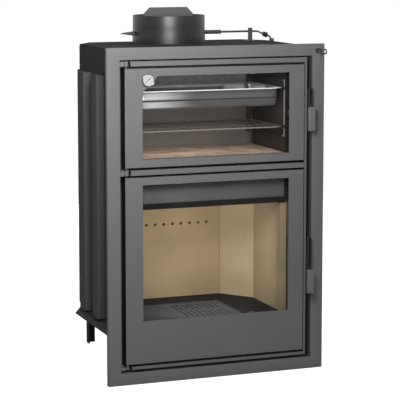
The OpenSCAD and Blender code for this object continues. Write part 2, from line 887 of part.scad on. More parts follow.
// Outline of the roasting tray's body in plan, grown by a distance, with corners of a radius
module tray_plan(grow, r) {
    x = rack_load_x - tray_rim + grow;
    y0 = rack_front_y + tray_rim - grow;
    y1 = rack_back_y + 8 - tray_rim + grow;
    for (cx = [-x + r, x - r], cy = [y0 + r, y1 - r]) translate([cx, cy]) circle(r);
    translate([-x + r, y0]) square([2 * (x - r), y1 - y0]);
    translate([-x, y0 + r]) square([2 * x, y1 - y0 - 2 * r]);
}

// Pressed steel tray hung by its rim on the upper rails, with a bead half way down
module roasting_tray() {
    rim_h = 3;
    bead = 2;
    r = 25;
    rim_r = 12;
    color([0.75, 0.75, 0.76]) from_face() translate([0, 0, tray_rail_z + seat]) difference() {
        union() {
            linear_extrude(rim_h) tray_plan(tray_rim, rim_r);
            translate([0, 0, -tray_h]) linear_extrude(tray_h + through) tray_plan(0, r);
            translate([0, 0, -tray_h / 2 - 3]) linear_extrude(6) tray_plan(bead, r + bead);
        }
        translate([0, 0, -tray_h + tray_t]) linear_extrude(tray_h + rim_h)
            tray_plan(-tray_t, r - tray_t);
    }
}

// Collar with a stepped spigot for the flue pipe, bored for the damper's axle
module flue_collar() {
    r = collar_r - collar_t;
    color([0.30, 0.30, 0.31]) from_face() difference() {
        translate([flue_cx, flue_y, 0]) rotate_extrude($fn = 96) polygon([
            [r, top_z], [collar_r, top_z], [collar_r, shoulder_z],
            [collar_r - spigot_step, shoulder_z], [collar_r - spigot_step, rim_z], [r, rim_z]
        ]);
        bar_x([flue_cx - collar_r - through, flue_y, axle_z], axle_d + 2 * pin_clear,
            collar_d + 2 * through);
    }
}

module axle_sleeve() {
    x = flue_cx + collar_r + seat;
    color([0.24, 0.24, 0.25]) from_face() difference() {
        bar_x([x, flue_y, axle_z], sleeve_d, sleeve_l);
        bar_x([x - through, flue_y, axle_z], axle_d + 2 * pin_clear, sleeve_l + 2 * through);
    }
}

module axle_post() {
    post_w = 12;
    foot_w = 26;
    color([0.22, 0.22, 0.23]) from_face() translate([post_x, flue_y, 0]) difference() {
        union() {
            block([-post_w / 2, -post_w / 2, top_z], [post_w / 2, post_w / 2,
                axle_z + post_w]);
            block([-foot_w / 2, -foot_w / 2, top_z], [foot_w / 2, foot_w / 2, top_z + 3]);
        }
        bar_x([-post_w, 0, axle_z], axle_d + 2 * pin_clear, 2 * post_w);
    }
}

// Flanged bush that guides the pull rod through the frame
module rod_bush() {
    flange_d = rod_d + 10;
    flange_t = 3;
    color([0.12, 0.12, 0.13]) from_face() translate([rod_cx, 0, rod_cz]) difference() {
        union() {
            bar_y([0, -flange_t, 0], flange_d, flange_t);
            bar_y([0, -through, 0], bush_d, frame_t + 10);
        }
        bar_y([0, -flange_t - through, 0], rod_d + 2 * pin_clear, frame_t + 20);
    }
}

// Bushes welded to the latch bar's web, behind its face, for the levers' axles
module latch_bushes() {
    wall = 2.5;
    bush_l = latch_bar_w - latch_web_t;
    color([0.20, 0.20, 0.21]) from_face()
        for (z = lever_pivots)
            difference() {
                bar_x([latch_bar_x0, lever_pivot_y, z], lever_axle_d + 2 * wall, bush_l);
                bar_x([latch_bar_x0 - through, lever_pivot_y, z], lever_axle_d + 2 * pin_clear,
                    bush_l + 2 * through);
            }
}

// A door: face sheet, folded edge, seal channel at the back, and two hinge bosses
module door_shell(z0, z1, window, pin_up, pin_down, lever_z) {
    seal_w = rope_side_inset + 9;
    boss_l = 24;
    slot_h = lever_axle_d + 4;
    difference() {
        union() {
            front_sheet(door_x0, z0, door_x1, z1, 0, door_face_t);
            difference() {
                front_sheet(door_x0, z0, door_x1, z1, 0, door_depth);
                front_sheet(door_x0 + door_edge_t, z0 + door_edge_t, door_x1 - door_edge_t,
                    z1 - door_edge_t, door_face_t, door_depth);
            }
            difference() {
                front_sheet(door_x0, z0, door_x1, z1, door_depth - door_edge_t, door_edge_t);
                front_sheet(door_x0 + seal_w, z0 + rail_h - 2, door_x1 - seal_w,
                    z1 - rail_h + 2, 0, door_depth + through);
            }
            for (z = [z0, z1 - boss_l]) bar_z([pin_x, pin_y, z], knuckle_d, boss_l);
        }
        rotate([90, 0, 0]) mirror([0, 0, 1]) translate([0, 0, -through])
            linear_extrude(door_face_t + 2 * through) polygon(window);
        bar_z([pin_x, pin_y, z0 - through], pin_d + 2 * pin_clear, pin_down + through);
        bar_z([pin_x, pin_y, z1 - pin_up], pin_d + 2 * pin_clear, pin_up + through);
        block([door_x1 - door_edge_t - through, lever_pivot_y - slot_h / 2,
            lever_z - lever_pivot_drop - slot_h / 2],
            [door_x1 + through, door_depth + through, lever_z - lever_pivot_drop + slot_h / 2]);
        block([door_x1 - 22, door_depth - door_edge_t - through,
            lever_z - lever_pivot_drop - 24],
            [door_x1 + through, door_depth + through, lever_z - lever_pivot_drop + slot_h / 2]);
    }
}

oven_window = [
    [window_x0, oven_window_z0], [window_x1, oven_window_z0], [window_x1, oven_window_z1],
    [window_x0 + corner_cut, oven_window_z1], [window_x0, oven_window_z1 - corner_cut]
];
fire_window = [
    [window_x0, fire_window_z0], [window_x1, fire_window_z0],
    [window_x1, fire_window_z1], [window_x0, fire_window_z1]
];

module oven_door_frame() {
    color([0.40, 0.40, 0.41]) from_face() difference() {
        door_shell(oven_door_z0, oven_door_z1, oven_window, boss_pin, boss_pin, oven_lever_z);
        bar_y([gauge_x, -through, gauge_z], stem_d + 1, door_face_t + 2 * through);
    }
}

module firebox_door_frame() {
    color([0.36, 0.36, 0.37]) from_face()
        door_shell(fire_door_z0, fire_door_z1, fire_window, boss_pin, boss_pin, fire_lever_z);
}

// Glass behind the face sheet; the oven's has its corner cut to clear the thermometer's stem
module oven_glass() {
    x0 = window_x0 - glass_lap;
    z1 = oven_window_z1 + glass_lap;
    reach = corner_cut + (2 - sqrt(2)) * glass_lap;
    color([0.16, 0.17, 0.17, 0.35]) from_face() rotate([90, 0, 0]) mirror([0, 0, 1])
        translate([0, 0, door_face_t + seat]) linear_extrude(glass_t) polygon([
            [x0, oven_window_z0 - glass_lap], [window_x1 + glass_lap, oven_window_z0 - glass_lap],
            [window_x1 + glass_lap, z1], [x0 + reach, z1], [x0, z1 - reach]
        ]);
}

module firebox_glass() {
    color([0.16, 0.17, 0.17, 0.35]) from_face()
        front_sheet(window_x0 - glass_lap, fire_window_z0 - glass_lap, window_x1 + glass_lap,
            fire_window_z1 + glass_lap, door_face_t + seat, glass_t);
}

// Rope seal: a round cord along a rectangle with rounded corners
module rope_seal(z0, z1) {
    x0 = door_x0 + rope_side_inset;
    x1 = door_x1 - rope_side_inset;
    low = z0 + rope_inset;
    high = z1 - rope_inset;
    y = rope_seat_y + rope_d / 2;
    r = rope_d;
    bar_x([x0 + r, y, low], rope_d, x1 - x0 - 2 * r);
    bar_x([x0 + r, y, high], rope_d, x1 - x0 - 2 * r);
    bar_z([x0, y, low + r], rope_d, high - low - 2 * r);
    bar_z([x1, y, low + r], rope_d, high - low - 2 * r);
    corners = [[x1 - r, high - r, 0], [x0 + r, high - r, 90], [x0 + r, low + r, 180],
        [x1 - r, low + r, 270]];
    for (c = corners)
        translate([c[0], y, c[1]]) rotate([0, -c[2], 0]) rotate([90, 0, 0])
            rotate_extrude(angle = 90) translate([r, 0]) circle(d = rope_d, $fn = 24);
}

module oven_door_seal() {
    color([0.20, 0.20, 0.20]) from_face() rope_seal(oven_door_z0, oven_door_z1);
}

module firebox_door_seal() {
    color([0.20, 0.20, 0.20]) from_face() rope_seal(fire_door_z0, fire_door_z1);
}

// A clip over the edge of the glass, held by a screw into the door's face
module glass_clip(x, z, side) {
    y = door_face_t + glass_t + 2 * seat;
    clip_t = 2;
    arm = side[0] != 0 ? [10, 9] : [9, 10];
    screw = [x - side[0] * 7, z - side[1] * 7];
    color([0.45, 0.45, 0.46]) {
        block([x - arm[0], y, z - arm[1]], [x + arm[0], y + clip_t, z + arm[1]]);
        bar_y([screw[0], door_face_t, screw[1]], 6, y + clip_t - door_face_t);
        bar_y([screw[0], y + clip_t, screw[1]], 9, 3);
    }
}

// Clips round a window: along the top and bottom, and at each side
module clip_ring(z0, z1, top_shift) {
    span = window_x1 - window_x0;
    off = glass_lap + 5;
    for (k = [1, 3])
        glass_clip(window_x0 + span * k / 4 + (k == 1 ? top_shift : 0), z1 + off - 5, [0, -1]);
    for (k = [1, 3]) glass_clip(window_x0 + span * k / 4, z0 - off + 5, [0, 1]);
    glass_clip(window_x0 - off + 5, (z0 + z1) / 2, [1, 0]);
    glass_clip(window_x1 + off - 5, (z0 + z1) / 2, [-1, 0]);
}

module oven_glass_clips() {
    from_face() clip_ring(oven_window_z0, oven_window_z1, 20);
}

module firebox_glass_clips() {
    from_face() clip_ring(fire_window_z0, fire_window_z1, 0);
}

// Two pins of one door: the lower one carries the washer that the door stands on
module hinge_pins(z0, z1, up, down) {
    color([0.55, 0.55, 0.56]) {
        bar_z([pin_x, pin_y, z1 - boss_pin], pin_d, boss_pin + over_gap + up);
        bar_z([pin_x, pin_y, z0 - under_gap - down], pin_d, boss_pin + under_gap + down);
        bar_z([pin_x, pin_y, z0 - under_gap + seat], pin_d + 6, under_gap - 2 * seat);
    }
}

module oven_hinge_pins() {
    from_face() hinge_pins(oven_door_z0, oven_door_z1, top_bar_h - 3, middle_bar_h / 2 - 1);
}

module firebox_hinge_pins() {
    from_face() hinge_pins(fire_door_z0, fire_door_z1, middle_bar_h / 2 - 1, bottom_bar_h - 2);
}

// Thermometer: a flanged case with a rim, and a stem that reaches into the oven
module thermometer_case() {
    rim = 2.5;
    color([0.78, 0.78, 0.79]) from_face() translate([gauge_x, 0, gauge_z])
        rotate([90, 0, 0]) {
            rotate_extrude($fn = 64) polygon([
                [0, 0], [gauge_d / 2, 0], [gauge_d / 2, gauge_h - 2],
                [gauge_d / 2 - 1.5, gauge_h], [gauge_d / 2 - rim, gauge_h],
                [gauge_d / 2 - rim, 4], [0, 4]
            ]);
            mirror([0, 0, 1]) cylinder(d = stem_d, h = stem_l);
        }
}

module thermometer_dial() {
    color([0.90, 0.90, 0.88]) from_face() translate([gauge_x, -4, gauge_z])
        rotate([90, 0, 0]) difference() {
            cylinder(d = gauge_d - 5.4, h = 1, $fn = 64);
            translate([0, 0, -through]) cylinder(d = 3, h = 1 + 2 * through);
        }
}

// Pointer on its spindle, balanced by its short tail
module thermometer_pointer() {
    long = gauge_d / 2 - 6;
    tail = 7;
    color([0.12, 0.12, 0.12]) from_face() translate([gauge_x, -4 - seat, gauge_z])
        rotate([90, 0, 0]) {
            cylinder(d = 2.4, h = 2.2);
            translate([0, 0, 1.4]) cylinder(d = 4, h = 0.8);
            translate([0, 0, 1.4]) rotate([0, 0, 225]) linear_extrude(0.8) polygon([
                [-tail, -1.6], [0, -0.9], [long, -0.3], [long, 0.3], [0, 0.9], [-tail, 1.6]
            ]);
        }
}

module thermometer_lens() {
    color([0.85, 0.88, 0.90, 0.3]) from_face() translate([gauge_x, -gauge_h + 1.8, gauge_z])
        rotate([90, 0, 0]) cylinder(d = gauge_d - 5.4, h = 1.2, $fn = 64);
}

// A latch lever: an open channel, a bent tang for the grip, a lug and the axle with its hook
module latch_lever(top_z0, length) {
    pivot = top_z0 - lever_pivot_drop;
    low = top_z0 - length;
    tang_t = 4;
    tang_y = grip_t - grip_out;
    tang_low = low - grip_h + 12;
    lug_t = 4;
    color([0.14, 0.14, 0.15]) {
        difference() {
            block([lever_x0, -lever_d, low], [lever_x1, 0, top_z0]);
            block([lever_x0 + lever_t, -lever_d - through, low - through],
                [lever_x1 - lever_t, -lever_t, top_z0 - lever_t]);
        }
        rotate([90, 0, 90]) translate([0, 0, lever_x0 + lever_t]) linear_extrude(lever_w
            - 2 * lever_t) polygon([
                [0, low + 12], [-lever_t - 2, low + 12], [tang_y, low - 6], [tang_y, tang_low],
                [tang_y + tang_t, tang_low], [tang_y + tang_t, low - 8], [0, low + 4]
            ]);
        block([lever_mid_x - lug_t / 2, -through, pivot - 8],
            [lever_mid_x + lug_t / 2, lever_pivot_y, pivot + 8]);
        bar_x([lever_mid_x - lug_t / 2, lever_pivot_y, pivot], 16, lug_t);
        bar_x([door_x1 - 12, lever_pivot_y, pivot], lever_axle_d, lever_mid_x - door_x1 + 14);
        block([door_x1 - 12, lever_pivot_y - 4, pivot - 18], [door_x1 - 6, lever_pivot_y + 4,
            pivot]);
    }
}

// A flat grip with eased edges, fixed to the lever's tang by two screws
module latch_grip(top_z0, length) {
    high = top_z0 - length;
    ease = 2;
    y0 = -grip_out;
    y1 = grip_t - grip_out - seat;
    color([0.46, 0.46, 0.47]) {
        translate([0, 0, high - grip_h]) linear_extrude(grip_h) polygon([
            [grip_x0 + ease, y0], [grip_x0 + grip_w - ease, y0], [grip_x0 + grip_w, y0 + ease],
            [grip_x0 + grip_w, y1], [grip_x0, y1], [grip_x0, y0 + ease]
        ]);
    }
}

module oven_latch_lever() {
    from_face() latch_lever(oven_lever_z, oven_lever_l);
}

module oven_latch_grip() {
    from_face() latch_grip(oven_lever_z, oven_lever_l);
}

module firebox_latch_lever() {
    from_face() latch_lever(fire_lever_z, fire_lever_l);
}

module firebox_latch_grip() {
    from_face() latch_grip(fire_lever_z, fire_lever_l);
}

// Square damper plate with cut corners, carried on the axle by two saddles
module damper_plate() {
    w = damper_w / 2;
    h = damper_h / 2;
    c = damper_cut;
    y = axle_r + pin_clear;
    color([0.38, 0.38, 0.39]) from_face() translate([flue_cx, flue_y, axle_z]) {
        rotate([90, 0, 0]) translate([0, 0, -y - damper_t]) linear_extrude(damper_t) polygon([
            [-w + c, -h], [w - c, -h], [w, -h + c], [w, h - c],
            [w - c, h], [-w + c, h], [-w, h - c], [-w, -h + c]
        ]);
        both_sides() difference() {
            block([w * 0.5 - 9, -axle_r - 3, -9], [w * 0.5 + 9, y + through, 9]);
            bar_x([0, 0, 0], axle_d + 2 * pin_clear, w);
        }
    }
}

// Points of the axle's cranked end in the crank's own plane, from the elbow to the pin in
// the pull rod's yoke
crank_points = [[elbow_x, 0, 0], [crank_bend_x, 0, -crank_bend_r],
    [crank_tail_x, 0, -crank_r], [crank_end_x, 0, -crank_r]];

// Round knuckle at a bend, a little wider than the rod of diameter d
module knuckle(p, d) {
    translate(p) rotate([90, 0, 0]) cylinder(d = d + 2, h = d + 1, center = true);
}

module damper_axle() {
    start_x = flue_cx - collar_r - 12;
    p = crank_points;
    color([0.24, 0.24, 0.25]) from_face() translate([0, flue_y, axle_z])
        rotate([crank_rest, 0, 0]) {
            bar_x([start_x, 0, 0], axle_d, elbow_x - start_x);
            for (i = [0:2]) bar_between(p[i], p[i + 1], crank_d);
            knuckle(p[0], axle_d);
            knuckle(p[1], crank_d);
            knuckle(p[2], crank_d);
        }
}

// Hexagon nut and pointed cap on the axle's free end
module axle_end_nut() {
    nut_l = 10;
    cap_l = 38;
    x = flue_cx - collar_r - through;
    color([0.28, 0.28, 0.29]) from_face() translate([x, flue_y, axle_z]) rotate([0, -90, 0])
        difference() {
            union() {
                cylinder(d = 15, h = nut_l, $fn = 6);
                translate([0, 0, nut_l]) rotate_extrude() polygon([
                    [0, 0], [5.5, 0], [5.5, 8], [1.2, cap_l], [0, cap_l]
                ]);
            }
            translate([0, 0, -through]) cylinder(d = axle_d + 2 * pin_clear, h = 12 + through);
        }
}

// Two-screw clamp on the cranked end
module crank_clamp() {
    a = crank_points[0];
    v = crank_points[1] - a;
    size = [12, 13, 18];
    color([0.17, 0.17, 0.18]) from_face() translate([0, flue_y, axle_z])
        rotate([crank_rest, 0, 0]) translate(a + v * 0.45)
        rotate([0, acos(v[2] / norm(v)), 0]) {
            difference() {
                translate([0, 0, size[2] / 2]) cube(size, center = true);
                translate([0, 0, -through]) cylinder(d = crank_d + 2 * pin_clear,
                    h = size[2] + 2 * through);
            }
            for (s = [4.5, 13.5]) translate([-size[0] / 2, 0, s]) rotate([0, -90, 0])
                cylinder(d = 6, h = 3.5, $fn = 24);
        }
}

// Pull rod: an oval loop in front, a straight rod, and a slotted yoke for the crank's pin
module pull_rod() {
    bend_r = (loop_w - loop_d) / 2;
    front = -loop_out + loop_w / 2;
    rear = -loop_out + loop_l - loop_w / 2;
    rod_end = yoke_y - 8;
    yoke_x0 = rod_cx + rod_r - 0.5;
    yoke_t = 3;
    half = yoke_w / 2 + 4;
    slot_low = yoke_low_z - crank_d / 2 - 1.5;
    slot_high = yoke_high_z + crank_d / 2 + 1.5;
    color([0.26, 0.26, 0.27]) from_face() {
        translate([rod_cx, 0, rod_cz]) {
            for (s = [-1, 1]) bar_y([0, front, s * bend_r], loop_d, rear - front);
            for (e = [[front, 180], [rear, 0]])
                translate([0, e[0], 0]) rotate([0, 0, 90]) rotate([90, 0, 0])
                    rotate([0, 0, e[1] - 90]) rotate_extrude(angle = 180)
                        translate([bend_r, 0]) circle(d = loop_d, $fn = 24);
            bar_y([0, rear + bend_r, 0], rod_d, rod_end - rear - bend_r);
        }
        rotate([90, 0, 90]) translate([0, 0, yoke_x0]) linear_extrude(yoke_t) difference() {
            translate([yoke_y - half - 5, slot_low - 5])
                square([2 * half + 5, slot_high - slot_low + 10]);
            translate([yoke_y - yoke_w / 2, slot_low]) square([yoke_w, slot_high - slot_low]);
        }
    }
}

front_frame();
top_bar();
middle_bar();
bottom_bar();
latch_bar();
hinge_brackets();
front_plate();
side_walls();
back_wall();
corner_panels();
top_plate();
base_plate();
base_skirts();
air_channels();
legs();
ash_box();
ash_pan();
hearth_plate();
grate();
back_lining();
side_linings();
corner_linings();
baffle_board();
air_bar();
oven_floor();
oven_side_walls();
oven_back();
oven_ceiling();
oven_stone();
rack_supports();
wire_grid();
roasting_tray();
flue_collar();
axle_sleeve();
axle_post();
rod_bush();
latch_bushes();
oven_door_frame();
oven_glass();
oven_door_seal();
oven_glass_clips();
oven_hinge_pins();
thermometer_case();
thermometer_dial();
thermometer_lens();
thermometer_pointer();
firebox_door_frame();
firebox_glass();
firebox_door_seal();
firebox_glass_clips();
firebox_hinge_pins();
oven_latch_lever();
oven_latch_grip();
firebox_latch_lever();
firebox_latch_grip();
damper_plate();
damper_axle();
axle_end_nut();
crank_clamp();
pull_rod();
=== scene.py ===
"""Wood fireplace insert with an oven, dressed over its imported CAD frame.

Lengths are metres in the row frame: +Z is up, -Y is the front and +X is the latch side.
Angles among the sizes are degrees.
"""

import logging
import math
from collections.abc import Callable, Iterable, Iterator, Sequence
from contextlib import contextmanager
from dataclasses import dataclass
from enum import Enum

import bmesh
import bpy
import numpy as np
from mathutils import Matrix, Vector


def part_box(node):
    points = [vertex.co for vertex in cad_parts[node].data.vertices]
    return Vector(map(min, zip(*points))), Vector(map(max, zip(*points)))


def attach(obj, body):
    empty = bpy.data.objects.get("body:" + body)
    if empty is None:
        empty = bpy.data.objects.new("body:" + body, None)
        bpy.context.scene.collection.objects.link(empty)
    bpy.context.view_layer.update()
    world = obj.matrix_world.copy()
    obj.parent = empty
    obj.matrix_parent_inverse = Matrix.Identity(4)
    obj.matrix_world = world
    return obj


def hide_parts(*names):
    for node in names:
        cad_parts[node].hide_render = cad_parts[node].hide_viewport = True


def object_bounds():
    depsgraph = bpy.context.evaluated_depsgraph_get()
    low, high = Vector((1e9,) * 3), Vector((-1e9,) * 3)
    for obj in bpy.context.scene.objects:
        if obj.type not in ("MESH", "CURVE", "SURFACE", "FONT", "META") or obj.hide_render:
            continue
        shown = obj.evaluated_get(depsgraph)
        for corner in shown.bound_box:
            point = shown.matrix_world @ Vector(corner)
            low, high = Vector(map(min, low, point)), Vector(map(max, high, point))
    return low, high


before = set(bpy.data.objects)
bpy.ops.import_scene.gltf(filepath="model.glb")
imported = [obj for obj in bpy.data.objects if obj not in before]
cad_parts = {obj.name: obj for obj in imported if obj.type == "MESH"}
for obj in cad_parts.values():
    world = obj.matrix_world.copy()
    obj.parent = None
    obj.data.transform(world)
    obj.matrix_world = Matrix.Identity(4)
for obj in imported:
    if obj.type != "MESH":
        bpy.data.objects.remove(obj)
CAD_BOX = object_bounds()
FACE_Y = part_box("front_frame")[0].y

Array = np.ndarray
log = logging.getLogger("fireplace")


class Axis(Enum):
    """Direction that a flat outline is set square to."""

    X = 0
    Y = 1
    Z = 2


class Body(Enum):
    """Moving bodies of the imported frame."""

    CASING = "body"
    OVEN_DOOR = "oven_door"
    FIRE_DOOR = "firebox_door"
    POINTER = "pointer"
    OVEN_LATCH = "oven_latch"
    FIRE_LATCH = "firebox_latch"
    DAMPER = "damper"
    ROD = "rod"


def srgb(*tone: float) -> tuple[float, float, float, float]:
    """Linear colour from display values.

    Args:
        tone: one grey or three channels, 0 to 255.

    Returns:
        Red, green, blue and 1, where v becomes v/12.92 in the darks and
        ((v + 0.055) / 1.055) ** 2.4 above them.
    """
    v = np.broadcast_to(np.asarray(tone, float) / 255, 3)
    linear = np.where(v <= 0.04045, v / 12.92, ((v + 0.055) / 1.055) ** 2.4)
    return (*map(float, linear), 1.0)


def span(node: str) -> tuple[Array, Array]:
    """Lowest and highest corner of a CAD node as arrays."""
    low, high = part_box(node)
    return np.array(low), np.array(high)


# Surfaces

@dataclass
class Shell:
    """Points and faces of one closed surface."""

    points: Array
    faces: list[list[int]]


def loft(rings: Array, joined: bool = False, caps: bool = True) -> Shell:
    """Skin over a grid of points.

    Point (i, j) is joined to (i+1, j) along the grid and to (i, j+1), counted
    round, across it.

    Args:
        rings: grid of shape (rings, points, 3).
        joined: the last ring meets the first, as on a torus.
        caps: the first and last ring are filled.

    Returns:
        The shell.
    """
    m, n = rings.shape[:2]
    here = np.arange(m * n).reshape(m, n)
    side = np.roll(here, -1, axis=1)
    if joined:
        low, low_side = here, side
        high, high_side = np.roll(here, -1, axis=0), np.roll(side, -1, axis=0)
    else:
        low, low_side, high, high_side = here[:-1], side[:-1], here[1:], side[1:]
    faces = np.stack([low, low_side, high_side, high], axis=-1).reshape(-1, 4).tolist()
    if caps and not joined:
        faces += [here[0][::-1].tolist(), here[-1].tolist()]
    return Shell(rings.reshape(-1, 3), faces)


def oblong(x0: float, z0: float, x1: float, z1: float) -> Array:
    """Four corners of a rectangle, counter-clockwise."""
    return np.array([[x0, z0], [x1, z0], [x1, z1], [x0, z1]])


def rounded(corners: Array, radius: float | Array, steps: int = 4) -> Array:
    """Closed outline with rounded corners.

    A corner P between neighbours A and B becomes the curve
    (1-t)^2 (P + r a) + 2t(1-t) P + t^2 (P + r b), where a and b are unit vectors
    towards A and B and t runs from 0 to 1.

    Args:
        corners: outline of shape (n, 2).
        radius: reach r of the rounds, one or one per corner.
        steps: parts of each round.

    Returns:
        Outline of shape (n * (steps + 1), 2).
    """
    p = np.asarray(corners, float)
    before, after = np.roll(p, 1, axis=0) - p, np.roll(p, -1, axis=0) - p
    r = np.broadcast_to(radius, len(p))[:, None]
    a = p + before / np.linalg.norm(before, axis=1)[:, None] * r
    b = p + after / np.linalg.norm(after, axis=1)[:, None] * r
    t = np.linspace(0, 1, steps + 1)[None, :, None]
    curve = (1 - t) ** 2 * a[:, None] + 2 * t * (1 - t) * p[:, None] + t**2 * b[:, None]
    return curve.reshape(-1, 2)


def shifted(outline: Array, distance: float) -> Array:
    """Outline moved inwards by a distance.

    Each point moves by d (m + n) / (1 + m.n), where m and n are the inward
    normals of the two edges that meet there.

    Args:
        outline: counter-clockwise outline of shape (n, 2).
        distance: inward distance, negative to grow.

    Returns:
        The moved outline.
    """
    edge = np.roll(outline, -1, axis=0) - outline
    edge /= np.linalg.norm(edge, axis=1)[:, None]
    n = np.stack([-edge[:, 1], edge[:, 0]], axis=1)
    m = np.roll(n, 1, axis=0)
    return outline + distance * (m + n) / (1 + (m * n).sum(1))[:, None]


def stand(outline: Array, level: float, axis: Axis) -> Array:
    """Flat outline set at a level along an axis, the other two kept in order."""
    return np.insert(outline, axis.value, level, axis=1)


def eased_rings(outline: Array, low: float, high: float, axis: Axis, ease: float,
                steps: int = 2) -> list[Array]:
    """Rings of a plate with quarter-round edges.

    At angle a from 0 to 90 degrees the outline is drawn in by e (1 - sin a) at
    e (1 - cos a) from the plate's end.

    Args:
        outline: plan of the plate.
        low: level of its first face.
        high: level of its last face.
        axis: axis that the levels run along.
        ease: radius e, negative where the outline is a hole.
        steps: parts of each round.

    Returns:
        Rings from the first face to the last.
    """
    a = np.linspace(0, np.pi / 2, steps + 1)
    draw, rise = ease * (1 - np.sin(a)), abs(ease) * (1 - np.cos(a))
    levels = np.concatenate([low + rise, (high - rise)[::-1]])
    return [stand(shifted(outline, d), z, axis)
            for d, z in zip(np.concatenate([draw, draw[::-1]]), levels)]


def slab(outline: Array, low: float, high: float, axis: Axis, ease: float,
         steps: int = 2) -> Shell:
    """Plate over an outline, with eased edges as in eased_rings."""
    return loft(np.stack(eased_rings(outline, low, high, axis, ease, steps)))


def band(outer: Array, inner: Array, low: float, high: float, axis: Axis,
         ease: float) -> Shell:
    """Plate with one hole: the outer rings, then the hole's rings back again."""
    rings = eased_rings(outer, low, high, axis, ease)
    return loft(np.stack(rings + eased_rings(inner, low, high, axis, -ease)[::-1]),
                joined=True)


def tube(path: Array, radius: float | Array, normal: Sequence[float], closed: bool = False,
         sides: int = 16) -> Shell:
    """Round bar along a path that lies in one plane.

    The point at angle u is P + r (cos u S + sin u N), where N is the plane's
    normal and S the cross product of N and the path's direction.

    Args:
        path: points P of shape (m, 3).
        radius: r, one or one per point, or of shape (m, sides).
        normal: N, a unit vector.
        closed: the path is a loop.
        sides: points round the bar.

    Returns:
        The shell, with flat ends on an open path.
    """
    if closed:
        run = np.roll(path, -1, axis=0) - np.roll(path, 1, axis=0)
    else:
        run = np.gradient(path, axis=0)
    run /= np.linalg.norm(run, axis=1)[:, None]
    n = np.asarray(normal, float)
    s = np.cross(n, run)
    u = np.linspace(0, 2 * np.pi, sides, endpoint=False)
    r = np.asarray(radius, float)
    r = np.broadcast_to(r[:, None] if r.ndim == 1 else r, (len(path), sides))[..., None]
    ring = np.cos(u)[None, :, None] * s[:, None] + np.sin(u)[None, :, None] * n
    return loft(path[:, None] + r * ring, joined=closed)


def rod(start: Sequence[float], end: Sequence[float], radius: float,
        sides: int = 16) -> Shell:
    """Straight round bar with eased ends.

    Its radius is 0.7 r at both ends and r from 0.3 r inside them.

    Args:
        start: middle of its first end.
        end: middle of its last end.
        radius: r.
        sides: points round the bar.

    Returns:
        The shell.
    """
    a, b = np.asarray(start, float), np.asarray(end, float)
    run = (b - a) / np.linalg.norm(b - a)
    side = np.array([1.0, 0, 0]) if abs(run[0]) < 0.9 else np.array([0, 1.0, 0])
    normal = np.cross(run, side)
    ease = radius * 0.3
    path = np.stack([a, a + run * ease, b - run * ease, b])
    return tube(path, np.array([0.7, 1, 1, 0.7]) * radius, normal / np.linalg.norm(normal),
                sides=sides)


def turned(profile: Sequence[Sequence[float]], centre: Sequence[float], axis: Axis,
           segments: int = 48, ring: bool = False, back: bool = False) -> Shell:
    """Profile turned about an axis.

    The point (r, h) becomes C + h A + r (cos u B + sin u D), with A along the
    axis and B, D the two directions after it in turn.

    Args:
        profile: pairs of radius and distance along the axis.
        centre: point C.
        axis: direction of A.
        segments: points round the axis.
        ring: the profile is closed, as for a pipe's wall.
        back: distances count against the axis.

    Returns:
        The shell.
    """
    p = np.asarray(profile, float)
    u = np.linspace(0, 2 * np.pi, segments, endpoint=False)
    grid = np.empty((len(p), segments, 3))
    grid[..., axis.value] = p[:, 1, None] * (-1 if back else 1)
    grid[..., (axis.value + 1) % 3] = p[:, 0, None] * np.cos(u)
    grid[..., (axis.value + 2) % 3] = p[:, 0, None] * np.sin(u)
    return loft(grid + np.asarray(centre, float), joined=ring)


def bent(points: Array, reach: float, steps: int = 8) -> Array:
    """Open path with rounded bends, as in rounded, between its two plain ends."""
    inner = rounded(points, reach, steps).reshape(len(points), steps + 1, -1)[1:-1]
    return np.concatenate([points[:1], inner.reshape(-1, points.shape[1]), points[-1:]])


def even(path: Array, pitch: float) -> Array:
    """Closed path drawn again at an even pitch, by straight interpolation on its length.

    Args:
        path: points of shape (n, 2) or (n, 3).
        pitch: distance between the new points, as near as a whole number of them gives.

    Returns:
        The new points.
    """
    loop = np.concatenate([path, path[:1]])
    run = np.concatenate([[0], np.cumsum(np.linalg.norm(np.diff(loop, axis=0), axis=1))])
    at = np.linspace(0, run[-1], max(8, round(run[-1] / pitch)), endpoint=False)
    return np.stack([np.interp(at, run, loop[:, k]) for k in range(loop.shape[1])], axis=1)


# Shader graphs

Socket = bpy.types.NodeSocket
Sockets = bpy.types.bpy_prop_collection
Inputs = dict[str | int, object]


